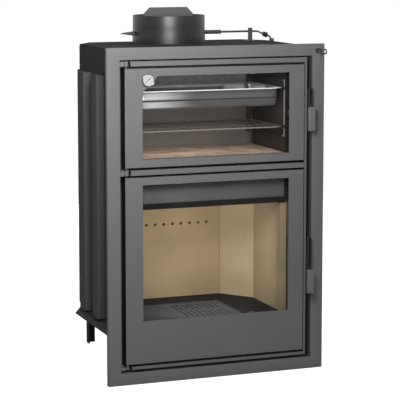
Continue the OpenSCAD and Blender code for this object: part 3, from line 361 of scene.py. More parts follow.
class Graph:
    """Node tree that is built by short calls."""

    def __init__(self, tree: bpy.types.NodeTree) -> None:
        """Keep the tree."""
        self.tree = tree

    @classmethod
    def over(cls, owner: bpy.types.Material | bpy.types.World) -> "Graph":
        """Start the graph of a new material or world, without its usual nodes.

        Args:
            owner: the material or world.

        Returns:
            The graph.
        """
        owner.use_nodes = True
        owner.node_tree.nodes.clear()
        return cls(owner.node_tree)

    def feed(self, node: bpy.types.Node, inputs: Inputs) -> None:
        """Set a node's inputs.

        Args:
            node: node to feed.
            inputs: value, or socket to link, for each named or numbered input.
        """
        for key, value in inputs.items():
            if isinstance(value, Socket):
                self.tree.links.new(value, node.inputs[key])
            else:
                node.inputs[key].default_value = value

    def add(self, kind: str, inputs: Inputs | None = None, **settings: object) -> bpy.types.Node:
        """Add a node.

        Args:
            kind: node type.
            inputs: what feeds its inputs, as in feed.
            settings: properties of the node.

        Returns:
            The node.
        """
        node = self.tree.nodes.new(kind)
        for key, value in settings.items():
            setattr(node, key, value)
        self.feed(node, inputs or {})
        return node

    def group(self, tree: bpy.types.NodeTree, *values: float) -> Sockets:
        """Outputs of a shared group whose inputs take the values in their order."""
        return self.add("ShaderNodeGroup", dict(enumerate(values)), node_tree=tree).outputs

    def maths(self, operation: str, *values: object) -> Socket:
        """Result of one math operation on values or sockets."""
        return self.add("ShaderNodeMath", dict(enumerate(values)), operation=operation).outputs[0]

    def carry(self, value: Socket, low: object, high: object, to_low: float = 0.0,
              to_high: float = 1.0) -> Socket:
        """Value carried smoothly from one range to another and clamped."""
        return self.add("ShaderNodeMapRange", {
            "Value": value, "From Min": low, "From Max": high, "To Min": to_low,
            "To Max": to_high}, interpolation_type="SMOOTHSTEP").outputs[0]

    def blend(self, share: object, first: object, second: object, how: str = "MIX") -> Socket:
        """Two colours mixed by a share, in the named blend mode."""
        return self.add("ShaderNodeMix", {0: share, 6: first, 7: second}, data_type="RGBA",
                        blend_type=how).outputs[2]

    def times(self, colour: object, shade: Socket) -> Socket:
        """Colour multiplied by a shade."""
        return self.blend(1.0, colour, shade, "MULTIPLY")

    def place(self) -> Socket:
        """Place on the object, in its own metres."""
        return self.add("ShaderNodeTexCoord").outputs["Object"]

    def axes(self, vector: Socket) -> Sockets:
        """X, Y and Z of a vector."""
        return self.add("ShaderNodeSeparateXYZ", {0: vector}).outputs

    def noise(self, vector: Socket, scale: object, detail: float) -> Socket:
        """Noise value at a scale per metre."""
        return self.add("ShaderNodeTexNoise", {"Vector": vector, "Scale": scale,
                                               "Detail": detail}).outputs[0]

    def cells(self, size: Socket, detail: float) -> Socket:
        """Noise over the object whose cells are a size across."""
        return self.noise(self.place(), self.maths("DIVIDE", 1.0, size), detail)

    def swing(self, value: Socket, amount: Socket) -> Socket:
        """1 plus a noise value about 0, times an amount."""
        about = self.maths("MULTIPLY", self.maths("SUBTRACT", value, 0.5), amount)
        return self.maths("ADD", about, 1.0)

    def bump(self, height: Socket, depth: float) -> Socket:
        """Normal of a surface whose height swings over a depth in metres."""
        return self.add("ShaderNodeBump", {"Height": height, "Distance": depth}).outputs[0]


def effect(name: str, draw: Callable[[Graph, Sockets], Inputs],
           **inputs: float) -> bpy.types.NodeTree:
    """Build a shared shader group.

    Args:
        name: name of the group.
        draw: adds the nodes to a graph, from the group's inputs, and returns what
            feeds each named output.
        inputs: named inputs with their usual values.

    Returns:
        The group.
    """
    tree = bpy.data.node_groups.new(name, "ShaderNodeTree")
    kind = "NodeSocketFloat"
    for key, value in inputs.items():
        socket = tree.interface.new_socket(name=key, in_out="INPUT", socket_type=kind)
        socket.default_value = value
    graph = Graph(tree)
    outputs = draw(graph, graph.add("NodeGroupInput").outputs)
    for key in outputs:
        tree.interface.new_socket(name=key, in_out="OUTPUT", socket_type=kind)
    graph.add("NodeGroupOutput", outputs)
    return tree


def fine_grain(g: Graph, given: Sockets) -> Inputs:
    """Noise whose cells are Size metres across, as a shade and a height."""
    value = g.cells(given["Size"], detail=4.0)
    return {"Shade": g.swing(value, given["Contrast"]), "Height": value}


def tone_drift(g: Graph, given: Sockets) -> Inputs:
    """Slow change of tone: 1 plus a wide noise about 0, times Spread."""
    return {"Factor": g.swing(g.cells(given["Size"], detail=2.0), given["Spread"])}


def settled_dust(g: Graph, given: Sockets) -> Inputs:
    """Dust or ash on faces that look up: the normal's height times patches of noise.

    Args:
        g: graph of the group.
        given: Size of the patches and Cover, their strength.

    Returns:
        The mask.
    """
    up = g.axes(g.add("ShaderNodeNewGeometry").outputs["Normal"])["Z"]
    flat = g.carry(up, 0.3, 0.95)
    patch = g.carry(g.cells(given["Size"], detail=5.0), 0.3, 0.7)
    return {"Mask": g.maths("MULTIPLY", g.maths("MULTIPLY", flat, patch), given["Cover"])}


def flecks(g: Graph, given: Sockets) -> Inputs:
    """Flecks: where a noise rises past 0.75 - Cover / 2, over a soft edge of 0.08.

    Args:
        g: graph of the group.
        given: Size of the noise's cells and Cover, the share under flecks.

    Returns:
        The mask.
    """
    value = g.cells(given["Size"], detail=6.0)
    edge = g.maths("SUBTRACT", 0.75, g.maths("MULTIPLY", given["Cover"], 0.5))
    return {"Mask": g.carry(value, edge, g.maths("ADD", edge, 0.08))}


def drawn_lines(g: Graph, given: Sockets) -> Inputs:
    """Lines left by rolling or brushing: noise whose X is first multiplied by Stretch.

    Args:
        g: graph of the group.
        given: Size of a line's width, Stretch and Contrast.

    Returns:
        The shade and the height.
    """
    place = g.axes(g.place())
    along = g.maths("MULTIPLY", place["X"], given["Stretch"])
    vector = g.add("ShaderNodeCombineXYZ", {"X": along, "Y": place["Y"], "Z": place["Z"]})
    scale = g.maths("DIVIDE", 1.0, given["Size"])
    value = g.noise(vector.outputs[0], scale, detail=2.0)
    return {"Shade": g.swing(value, given["Contrast"]), "Height": value}


def soft_box(g: Graph, given: Sockets) -> Inputs:
    """Box with soft sides in the object's own metres: 1 inside and 0 outside.

    Args:
        g: graph of the group.
        given: for each axis, the low and high side and their softness.

    Returns:
        The mask.
    """
    place = g.axes(g.place())
    mask = 1.0
    for axis in "XYZ":
        soft = given[f"{axis} soft"]
        for end, near, far in ((" low", 0.0, 1.0), (" high", 1.0, 0.0)):
            side = given[axis + end]
            step = g.carry(place[axis], g.maths("SUBTRACT", side, soft),
                           g.maths("ADD", side, soft), near, far)
            mask = g.maths("MULTIPLY", mask, step)
    return {"Mask": mask}


GRAIN = effect("Fine grain", fine_grain, Size=0.001, Contrast=0.1)
DRIFT = effect("Tone drift", tone_drift, Size=0.3, Spread=0.1)
DUST = effect("Settled dust", settled_dust, Size=0.02, Cover=0.5)
FLECKS = effect("Flecks", flecks, Size=0.01, Cover=0.2)
LINES = effect("Drawn lines", drawn_lines, Size=0.0006, Stretch=0.02, Contrast=0.2)
ZONE = effect("Zone", soft_box, **{f"{axis} {side}": 0.01 for axis in "XYZ"
                                   for side in ("low", "high", "soft")})


# Finishes

Tone = tuple[float, ...]
# A shared effect's cell width in metres, then its contrast, spread or cover.
Pattern = tuple[float, float]
# Lowest and highest place along one axis, in metres.
Range = tuple[float, float]
# From side to side, or from front to back, past every piece whose zones use it.
ACROSS: Range = (-0.3, 0.3)


@dataclass(frozen=True)
class Zone:
    """Part of a finish with its own tone, mostly painted light or shade: a box in metres with soft
    sides.
    """

    tone: Tone
    z: Range
    x: Range = ACROSS
    y: Range = ACROSS
    soft: tuple[float, float, float] = (0.004, 0.004, 0.004)

    def mask(self, graph: Graph) -> Socket:
        """Place the shared group with this zone's sides."""
        sides = [v for side, soft in zip((self.x, self.y, self.z), self.soft)
                 for v in (*side, soft)]
        return graph.group(ZONE, *sides)["Mask"]


@dataclass(frozen=True)
class Finish:
    """What every finish has: its name, display colour, gloss and zones."""

    name: str
    tone: Tone
    roughness: float = 0.5
    specular: float = 0.3
    zones: tuple[Zone, ...] = ()

    def material(self) -> bpy.types.Material:
        """Build the material the first time that it is asked for.

        Returns:
            The material.
        """
        made = bpy.data.materials.get(self.name)
        if made:
            return made
        made = bpy.data.materials.new(self.name)
        graph = Graph.over(made)
        shader = graph.add("ShaderNodeBsdfPrincipled", {
            "Base Color": srgb(*self.tone), "Roughness": self.roughness,
            "Specular IOR Level": self.specular})
        graph.add("ShaderNodeOutputMaterial", {"Surface": shader.outputs[0]})
        graph.feed(shader, self.paint(graph))
        return made

    def paint(self, graph: Graph) -> Inputs:
        """What this kind of finish feeds to its shader."""
        return {}

    def zoned(self, graph: Graph) -> Socket | Tone:
        """Change the finish's tone in its zones, which mostly hold painted light and shade.

        Args:
            graph: graph of the material.

        Returns:
            The colour.
        """
        colour = srgb(*self.tone)
        for zone in self.zones:
            colour = graph.blend(zone.mask(graph), colour, srgb(*zone.tone))
        return colour

    def patched(self, graph: Graph, first: Socket | Tone, second: Tone, patches: Pattern,
                edge: float, share: float = 1.0) -> Socket:
        """Mix a second tone in where a drift goes from 1 - edge to 1 + edge.

        Args:
            graph: graph of the material.
            first: colour between the patches.
            second: tone of the patches.
            patches: width and spread of the drift.
            edge: reach of the patches' edges.
            share: strength of the second tone in the patches.

        Returns:
            The colour.
        """
        drift = graph.group(DRIFT, *patches)["Factor"]
        return graph.blend(graph.carry(drift, 1 - edge, 1 + edge, 0.0, share), first,
                           srgb(*second))

    def flecked(self, graph: Graph, colour: Socket, tone: Tone, pattern: Pattern,
                share: float) -> Socket:
        """Colour with flecks of a tone, mixed in by a share."""
        mask = graph.maths("MULTIPLY", graph.group(FLECKS, *pattern)["Mask"], share)
        return graph.blend(mask, colour, srgb(*tone))

    def worn(self, graph: Graph, wear: Pattern) -> Socket:
        """The finish's roughness with a drift."""
        return graph.maths("MULTIPLY", graph.group(DRIFT, *wear)["Factor"], self.roughness)


@dataclass(frozen=True)
class Paint(Finish):
    """Matt stove paint on sheet steel: fine orange peel, slow drift, dust and specks."""

    peel: Pattern = (0.0011, 0.16)
    peel_depth: float = 0.00006
    drift: Pattern = (0.22, 0.12)
    dust: Pattern = (0.03, 0.06)
    dust_tone: Tone = (150, 148, 144)
    specks: Pattern = (0.004, 0.22)
    speck_share: float = 0.06
    wear: Pattern = (0.05, 0.25)

    def paint(self, graph: Graph) -> Inputs:
        """Tone times drift and peel, with dust on what looks up.

        Args:
            graph: graph of the material.

        Returns:
            What feeds the shader.
        """
        peel = graph.group(GRAIN, *self.peel)
        shade = graph.maths("MULTIPLY", peel["Shade"], graph.group(DRIFT, *self.drift)["Factor"])
        colour = graph.times(self.zoned(graph), shade)
        specks = graph.maths("MULTIPLY", graph.group(FLECKS, *self.specks)["Mask"],
                             self.speck_share)
        dusty = graph.maths("MAXIMUM", graph.group(DUST, *self.dust)["Mask"], specks)
        return {"Base Color": graph.blend(dusty, colour, srgb(*self.dust_tone)),
                "Roughness": self.worn(graph, self.wear),
                "Normal": graph.bump(peel["Height"], self.peel_depth)}


@dataclass(frozen=True)
class Board(Finish):
    """Fireproof lining board: mineral grain in two tones, flecks, soot near the hearth."""

    second: Tone = (120, 100, 70)
    patches: Pattern = (0.12, 0.5)
    patch_edge: float = 0.12
    patch_share: float = 0.12
    grain: Pattern = (0.0018, 0.2)
    grain_depth: float = 0.00025
    flecks: Pattern = (0.006, 0.3)
    fleck_share: float = 0.25
    soot: Tone = (60, 52, 42)
    soot_low: float = 0.195
    soot_reach: float = 0.12
    soot_share: float = 0.3
    cloud_scale: float = 14.0

    def paint(self, graph: Graph) -> Inputs:
        """Two tones of board in patches and flecks, then soot that rises from the hearth.

        Args:
            graph: graph of the material.

        Returns:
            What feeds the shader.
        """
        colour = self.patched(graph, srgb(*self.tone), self.second, self.patches,
                              self.patch_edge, self.patch_share)
        grain = graph.group(GRAIN, *self.grain)
        colour = self.flecked(graph, graph.times(colour, grain["Shade"]), self.second,
                              self.flecks, self.fleck_share)
        rise = graph.carry(graph.axes(graph.place())["Z"], self.soot_low,
                           self.soot_low + self.soot_reach, 1.0, 0.0)
        cloud = graph.noise(graph.place(), self.cloud_scale, detail=4.0)
        soot = graph.maths("MULTIPLY", graph.maths("MULTIPLY", rise, cloud), self.soot_share)
        return {"Base Color": graph.blend(soot, colour, srgb(*self.soot)),
                "Normal": graph.bump(grain["Height"], self.grain_depth)}


@dataclass(frozen=True)
class Iron(Finish):
    """Cast iron: coarse sand grain, with ash lying in patches."""

    sand: Pattern = (0.0016, 0.4)
    sand_depth: float = 0.0004
    drift: Pattern = (0.08, 0.4)
    ash: Pattern = (0.03, 0.5)
    ash_tone: Tone = (150, 145, 138)
    wear: Pattern = (0.03, 0.3)

    def paint(self, graph: Graph) -> Inputs:
        """Dark grain with ash on what looks up.

        Args:
            graph: graph of the material.

        Returns:
            What feeds the shader.
        """
        sand = graph.group(GRAIN, *self.sand)
        shade = graph.maths("MULTIPLY", sand["Shade"], graph.group(DRIFT, *self.drift)["Factor"])
        colour = graph.times(self.zoned(graph), shade)
        ash = graph.group(DUST, *self.ash)["Mask"]
        return {"Base Color": graph.blend(ash, colour, srgb(*self.ash_tone)),
                "Roughness": self.worn(graph, self.wear),
                "Normal": graph.bump(sand["Height"], self.sand_depth)}


@dataclass(frozen=True)
class FiredClay(Finish):
    """Baking stone: sandy clay in two tones, with dark pores."""

    second: Tone = (160, 120, 96)
    patches: Pattern = (0.05, 0.6)
    patch_edge: float = 0.14
    grain: Pattern = (0.002, 0.35)
    grain_depth: float = 0.0003
    pores: Pattern = (0.0025, 0.25)
    pore_tone: Tone = (96, 74, 60)
    pore_share: float = 0.45

    def paint(self, graph: Graph) -> Inputs:
        """Patches of two clays, then pores.

        Args:
            graph: graph of the material.

        Returns:
            What feeds the shader.
        """
        colour = self.patched(graph, srgb(*self.tone), self.second, self.patches,
                              self.patch_edge)
        grain = graph.group(GRAIN, *self.grain)
        return {"Base Color": self.flecked(graph, graph.times(colour, grain["Shade"]),
                                           self.pore_tone, self.pores, self.pore_share),
                "Normal": graph.bump(grain["Height"], self.grain_depth)}


@dataclass(frozen=True)
class BareMetal(Finish):
    """Stainless or plated steel: lines along X and a smear of use."""

    line_w: float = 0.0007
    stretch: float = 0.03
    contrast: float = 0.1
    depth: float = 0.00001
    smears: Pattern = (0.03, 0.3)
    smear_tone: Tone = (120, 116, 110)
    smear_share: float = 0.2
    metallic: float = 1.0
    wear: Pattern = (0.02, 0.4)

    def paint(self, graph: Graph) -> Inputs:
        """Metal with drawn lines and dull smears.

        Args:
            graph: graph of the material.

        Returns:
            What feeds the shader.
        """
        lines = graph.group(LINES, self.line_w, self.stretch, self.contrast)
        colour = graph.times(self.zoned(graph), lines["Shade"])
        return {"Base Color": self.flecked(graph, colour, self.smear_tone, self.smears,
                                           self.smear_share),
                "Metallic": self.metallic, "Roughness": self.worn(graph, self.wear),
                "Normal": graph.bump(lines["Height"], self.depth)}


@dataclass(frozen=True)
class Pane(Finish):
    """Heatproof or clear glass, seen through by its alpha, with a faint film."""

    alpha: float = 0.1
    film: float = 0.02
    film_drift: Pattern = (0.16, 1.0)
    film_edge: float = 0.2
    ior: float = 1.5

    def paint(self, graph: Graph) -> Inputs:
        """Constant glass with a film that thickens in patches."""
        film = graph.group(DRIFT, *self.film_drift)["Factor"]
        return {"IOR": self.ior,
                "Alpha": graph.carry(film, 1 - self.film_edge, 1 + self.film_edge,
                                     self.alpha - self.film, self.alpha + self.film)}


@dataclass(frozen=True)
class Braid(Finish):
    """Glass-fibre rope or tape: fine threads with pale fibres."""

    threads: Pattern = (0.0007, 0.8)
    thread_depth: float = 0.0003
    fibres: Pattern = (0.0012, 0.3)
    fibre_tone: Tone = (120, 118, 112)
    fibre_share: float = 0.2

    def paint(self, graph: Graph) -> Inputs:
        """Threads in shade and height.

        Args:
            graph: graph of the material.

        Returns:
            What feeds the shader.
        """
        threads = graph.group(GRAIN, *self.threads)
        colour = graph.times(srgb(*self.tone), threads["Shade"])
        return {"Base Color": self.flecked(graph, colour, self.fibre_tone, self.fibres,
                                           self.fibre_share),
                "Normal": graph.bump(threads["Height"], self.thread_depth)}


@dataclass(frozen=True)
class Enamel(Finish):
    """Smooth printed or enamelled face with a slight warm drift."""

    warm: Tone = (205, 200, 188)
    patches: Pattern = (0.02, 0.6)
    patch_edge: float = 0.1
    patch_share: float = 0.3
    grain: Pattern = (0.0008, 0.05)

    def paint(self, graph: Graph) -> Inputs:
        """Tone that yellows in patches under a fine grain."""
        colour = self.patched(graph, self.zoned(graph), self.warm, self.patches,
                              self.patch_edge, self.patch_share)
        return {"Base Color": graph.times(colour, graph.group(GRAIN, *self.grain)["Shade"])}


FRAME_PAINT = Paint("Frame paint", (108, 108, 109), roughness=0.55, specular=0.15)
DOOR_PAINT = Paint("Door paint", (106, 106, 107), roughness=0.55, specular=0.15, zones=(
    # Painted shade on the folded edge on the hinge side, behind the face sheet.
    Zone((30, 30, 31), x=(-0.33, -0.30), y=(-0.2185, -0.1), z=(0.0, 1.2),
         soft=(0.001, 0.001, 0.001)),))
BAR_PAINT = Paint("Bar paint", (104, 104, 105), roughness=0.55, specular=0.2)
AIR_BAR_PAINT = Paint("Air bar paint", (112, 112, 113), roughness=0.55, specular=0.15, zones=(
    # A darker lower band, then painted shadow along the upper edge under the door's rail and at
    # the end on the latch side.
    Zone((54, 52, 50), z=(0.5, 0.5895), soft=(0.01, 0.01, 0.0015)),
    Zone((44, 44, 44), z=(0.648, 0.7), soft=(0.01, 0.01, 0.0015)),
    Zone((40, 40, 40), x=(0.2515, 0.3), z=(0.5, 0.7), soft=(0.003, 0.01, 0.01))))
# The casing and the top plate carry the frame's paint in darker tones, as painted shade on faces
# turned away from the light; the channels' lighter tone is painted light on their outer faces,
# against the walls' painted shade.
CASING_SHADED_PAINT = Paint("Casing paint", (70, 70, 71), roughness=0.75, specular=0.06)
CHANNEL_PAINT = Paint("Channel paint", (96, 96, 97), roughness=0.75, specular=0.06)
TOP_SHADED_PAINT = Paint("Top paint", (60, 60, 61), roughness=0.8, specular=0.03, dust=(0.03, 0.04))
UNDER_PAINT = Paint("Black paint", (60, 60, 61), roughness=0.7, specular=0.08)
MOUTH_PAINT = Paint("Mouth paint", (96, 96, 96), roughness=0.65, specular=0.15, zones=(
    # A pale strip beside the fire, painted light where the plate lies in shade, then painted shade
    # beside the air bar, behind the latches and beside the oven.
    Zone((150, 130, 108), x=(0.268, 0.300), z=(0.19, 0.564)),
    Zone((30, 30, 31), x=(0.268, 0.300), z=(0.568, 0.66)),
    Zone((70, 70, 71), x=(0.315, 0.360), z=(0.0, 1.1)),
    Zone((34, 33, 32), x=(0.255, 0.300), z=(0.70, 1.03))))
LEVER_PAINT = Paint("Lever paint", (52, 52, 54), roughness=0.45, specular=0.3)
GRIP_PAINT = Paint("Grip coat", (108, 108, 109), roughness=0.6, specular=0.2,
                   peel=(0.0008, 0.16))
COLLAR_PAINT = Paint("Collar paint", (14, 14, 15), roughness=0.38, specular=0.5,
                     dust=(0.03, 0.0))
DAMPER_PAINT = Paint("Damper paint", (100, 100, 101), roughness=0.5, specular=0.25,
                     drift=(0.22, 0.25))
ROD_PAINT = Paint("Rod paint", (70, 70, 72), roughness=0.45, specular=0.35)
LINING = Board("Lining board", (192, 168, 130), roughness=0.9, specular=0.1)
CORNER_LINING = Board("Corner lining board", (208, 187, 152), roughness=0.9, specular=0.1)
SIDE_LINING = Board("Side lining board", (190, 172, 138), roughness=0.9, specular=0.1)
HEARTH_IRON = Iron("Hearth iron", (34, 36, 39), roughness=0.8, specular=0.1,
                   ash=(0.03, 0.03), zones=(
    # Lighter part at the front and on the hinge side; the darker tone of the rest of the plate is
    # painted shade towards the rear and the latch side.
    Zone((80, 84, 88), x=(-0.3, 0.112), y=(-0.2, 0.067), z=(0.1, 0.3),
         soft=(0.003, 0.006, 0.01)),))
GRATE_IRON = Iron("Grate iron", (80, 84, 88), roughness=0.75, specular=0.2, ash=(0.02, 0.1))
ASH = Iron("Ash", (66, 69, 72), roughness=0.95, specular=0.05, ash=(0.02, 0.1))
PAN_PAINT = Paint("Heat-worn steel", (70, 68, 66), roughness=0.6, specular=0.25,
                  drift=(0.22, 0.3))
OVEN_ENAMEL = Enamel("Oven enamel", (52, 48, 46), roughness=0.45, specular=0.3,
                     warm=(60, 54, 48), zones=(
    # Painted shade at the top of the side wall on the latch side, under the window's top edge.
    Zone((30, 29, 28), x=(0.2, 0.3), z=(0.99, 1.1), soft=(0.01, 0.01, 0.014)),))
OVEN_REAR = Enamel("Oven rear sheet", (128, 122, 116), roughness=0.45, specular=0.3,
                   warm=(128, 118, 108), zones=(
    # Painted light in a strip above the tray, then painted shadow at the end on the latch side,
    # above and below.
    Zone((200, 198, 196), z=(0.955, 1.1), soft=(0.01, 0.01, 0.015)),
    Zone((58, 54, 51), x=(0.239, 0.3), z=(0.775, 1.1)),
    Zone((58, 54, 51), x=(0.254, 0.3), z=(0.70, 0.775), soft=(0.012, 0.01, 0.012))))
OVEN_TOP = Enamel("Oven ceiling sheet", (40, 39, 38), roughness=0.6, specular=0.2,
                  warm=(46, 42, 38))
CLAY = FiredClay("Baking stone", (222, 197, 173), roughness=0.9, specular=0.1,
                 second=(184, 152, 128))
# Tone of the tray's painted highlights. The steel's own tone below is kept dark, as painted shade
# outside them.
TRAY_PAINTED_HIGHLIGHT = (250, 250, 251)
TRAY_STEEL = BareMetal("Tray steel", (74, 73, 72), roughness=0.25, specular=0.5, depth=0.0,
                       contrast=0.05, metallic=0.35, smear_tone=(86, 85, 84), zones=(
    # Front wall: a painted highlight above and below its bead, and the bead's line in painted
    # shade.
    Zone((162, 163, 164), x=(-0.34, -0.13), y=(-0.165, -0.13), z=(0.9235, 0.9465),
         soft=(0.09, 0.003, 0.003)),
    Zone((168, 169, 170), x=(-0.34, -0.13), y=(-0.165, -0.13), z=(0.8965, 0.9165),
         soft=(0.09, 0.003, 0.003)),
    Zone((40, 40, 40), y=(-0.165, -0.13), z=(0.918, 0.922), soft=(0.01, 0.003, 0.0015)),
    # Painted light on the rear wall, and painted highlights on its upper edge, its corner and the
    # wall on the latch side.
    Zone((140, 140, 141), x=(-0.3, 0.145), y=(0.06, 0.2), z=(0.80, 1.0), soft=(0.02, 0.01, 0.002)),
    Zone(TRAY_PAINTED_HIGHLIGHT, x=(-0.3, 0.145), y=(0.06, 0.2), z=(0.943, 1.0), soft=(0.02, 0.01, 0.0015)),
    Zone(TRAY_PAINTED_HIGHLIGHT, x=(0.145, 0.222), y=(0.02, 0.2), z=(0.80, 1.0), soft=(0.012, 0.004, 0.01)),
    Zone(TRAY_PAINTED_HIGHLIGHT, x=(0.236, 0.3), y=(-0.04, 0.2), z=(0.80, 1.0), soft=(0.003, 0.03, 0.01)),
    # Painted highlight on the rolled rim.
    Zone(TRAY_PAINTED_HIGHLIGHT, z=(0.949, 1.0), soft=(0.001, 0.001, 0.0008))))
WIRE_PLATE = BareMetal("Plated wire", (132, 127, 120), roughness=0.35, specular=0.5,
                       contrast=0.2, metallic=0.6)
RACK_PLATE = BareMetal("Rack wire", (66, 62, 58), roughness=0.4, specular=0.3, contrast=0.2,
                       metallic=0.6, zones=(
    # Painted highlight on the front uprights, with a painted shadow at the tray's rim and one at
    # the grid.
    Zone((170, 170, 170), y=(-0.18, -0.1575), z=(0.7, 1.1), soft=(0.001, 0.0005, 0.001)),
    Zone((30, 30, 30), y=(-0.18, -0.14), z=(0.944, 0.955)),
    Zone((30, 30, 30), y=(-0.18, -0.14), z=(0.815, 0.826))))
ZINC = BareMetal("Zinc plate", (150, 150, 150), roughness=0.4, specular=0.5)
PIN_STEEL = BareMetal("Pin steel", (96, 96, 96), roughness=0.55, specular=0.3)
BEZEL_STEEL = BareMetal("Bezel steel", (150, 150, 152), roughness=0.15, specular=0.5)
DOOR_GLASS = Pane("Door glass", (26, 26, 27), roughness=0.04, specular=0.3, alpha=0.12)
LENS_GLASS = Pane("Gauge glass", (235, 238, 240), roughness=0.02, specular=0.4, alpha=0.08)
ROPE = Braid("Seal rope", (52, 51, 50), roughness=0.95, specular=0.1)
DIAL = Enamel("Dial print", (168, 168, 166), roughness=0.4, specular=0.3)
DIAL_INK = Enamel("Dial ink", (26, 26, 26), roughness=0.5, specular=0.2, warm=(34, 32, 30))
TAPE = Braid("Glass tape", (36, 36, 36), roughness=0.95, specular=0.08)


# Placing

# Distance within which points are merged, in new surfaces and in copies of CAD meshes.
MERGE = 2e-6
CAD_MERGE = 1e-5
# Angle below which a copy's faces are joined, and above which its edges are eased.
FLAT_ANGLE = math.radians(0.4)
BEVEL_ANGLE = math.radians(40)
# Usual angle in degrees above which an edge is shaded sharp.
SHARP = 38.0


def placed(name: str, data: bpy.types.ID) -> bpy.types.Object:
    """Make an object and link it into the scene.

    Args:
        name: name of the object.
        data: its mesh, text, lamp or camera.

    Returns:
        The object.
    """
    piece = bpy.data.objects.new(name, data)
    bpy.context.scene.collection.objects.link(piece)
    return piece


@contextmanager
def reworked(mesh: bpy.types.Mesh, sharp: float) -> Iterator[bmesh.types.BMesh]:
    """Open a mesh for work, then write it back and shade it.

    Args:
        mesh: mesh to work on.
        sharp: angle in degrees above which an edge stays sharp.

    Yields:
        The open mesh.
    """
    work = bmesh.new()
    work.from_mesh(mesh)
    yield work
    work.to_mesh(mesh)
    work.free()
    mesh.shade_smooth()
    mesh.set_sharp_from_angle(angle=math.radians(sharp))


def shell_mesh(name: str, shells: Shell | Iterable[Shell], sharp: float) -> bpy.types.Mesh:
    """Mesh of closed surfaces, with doubles merged and faces turned outwards.

    Args:
        name: name of the mesh.
        shells: the surfaces.
        sharp: angle in degrees above which an edge stays sharp.

    Returns:
        The mesh.
    """
    parts = [shells] if isinstance(shells, Shell) else list(shells)
    starts = np.cumsum([0] + [len(p.points) for p in parts])
    faces = [[v + s for v in f] for p, s in zip(parts, starts.tolist()) for f in p.faces]
    mesh = bpy.data.meshes.new(name)
    mesh.from_pydata(np.concatenate([p.points for p in parts]).tolist(), [], faces)
    with reworked(mesh, sharp) as work:
        bmesh.ops.remove_doubles(work, verts=work.verts, dist=MERGE)
        bmesh.ops.recalc_face_normals(work, faces=work.faces)
    return mesh


def fit(piece: bpy.types.Object, finish: Finish, body: Body, node: str,
        stands_in: bool = True) -> bpy.types.Object:
    """Dress a piece and tie it to its body.

    Args:
        piece: object whose place is in its mesh.
        finish: its finish.
        body: body that it rides on.
        node: CAD node that it belongs to, hidden when the piece stands in for it.
        stands_in: it takes that node's place, and doesn't only add to it.

    Returns:
        The piece.
    """
    piece.data.materials.clear()
    piece.data.materials.append(finish.material())
    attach(piece, body.value)
    if stands_in:
        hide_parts(node)
    return piece


def add_piece(name: str, shells: Shell | Iterable[Shell], finish: Finish, body: Body,
              node: str, stands_in: bool = True, sharp: float = SHARP) -> bpy.types.Object:
    """Make one piece from closed surfaces, dressed and tied as in shell_mesh and fit."""
    return fit(placed(name, shell_mesh(name, shells, sharp)), finish, body, node, stands_in)


def eased_copy(node: str, finish: Finish, body: Body, ease: float,
               segments: int = 2) -> bpy.types.Object:
    """Copy of a CAD node with its edges eased by a Bevel modifier.

    The copy's loose triangles are merged and its flat faces joined first.

    Args:
        node: CAD node to copy and take the place of.
        finish: its finish.
        body: body that it rides on.
        ease: width of the bevel.
        segments: parts of the bevel.

    Returns:
        The piece.
    """
    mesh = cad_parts[node].data.copy()
    with reworked(mesh, SHARP) as work:
        bmesh.ops.remove_doubles(work, verts=work.verts, dist=CAD_MERGE)
        bmesh.ops.dissolve_limit(work, angle_limit=FLAT_ANGLE, verts=work.verts,
                                 edges=work.edges)
    piece = placed(node + "_eased", mesh)
    bevel = piece.modifiers.new("Eased edges", "BEVEL")
    bevel.width, bevel.segments = ease, segments
    bevel.limit_method, bevel.angle_limit = "ANGLE", BEVEL_ANGLE
    return fit(piece, finish, body, node)


def eased_copies(*rows: tuple[Finish, float, Sequence[str]],
                 segments: int = 2) -> list[bpy.types.Object]:
    """Eased copies of fixed CAD nodes, in rows of a finish, an ease and the nodes' names."""
    return [eased_copy(node, finish, Body.CASING, ease, segments)
            for finish, ease, nodes in rows for node in nodes]


def dress(finish: Finish, *nodes: str) -> None:
    """Give shown CAD nodes their finish."""
    for node in nodes:
        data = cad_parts[node].data
        data.materials.clear()
        data.materials.append(finish.material())


def middle(node: str) -> Array:
    """Middle of a CAD node's box."""
    low, high = span(node)
    return (low + high) / 2


def face_middle(node: str) -> Array:
    """Middle of a CAD node in front view, at the level of the frame's face."""
    return middle(node) * [1, 0, 1] + [0, FACE_Y, 0]


def outline_of(node: str, axis: Axis, inset: float = 0.0) -> Array:
    """Rectangle round a CAD node seen along an axis, drawn in by an inset."""
    low, high = (np.delete(corner, axis.value) for corner in span(node))
    return oblong(*(low + inset), *(high - inset))


# Sub-assemblies

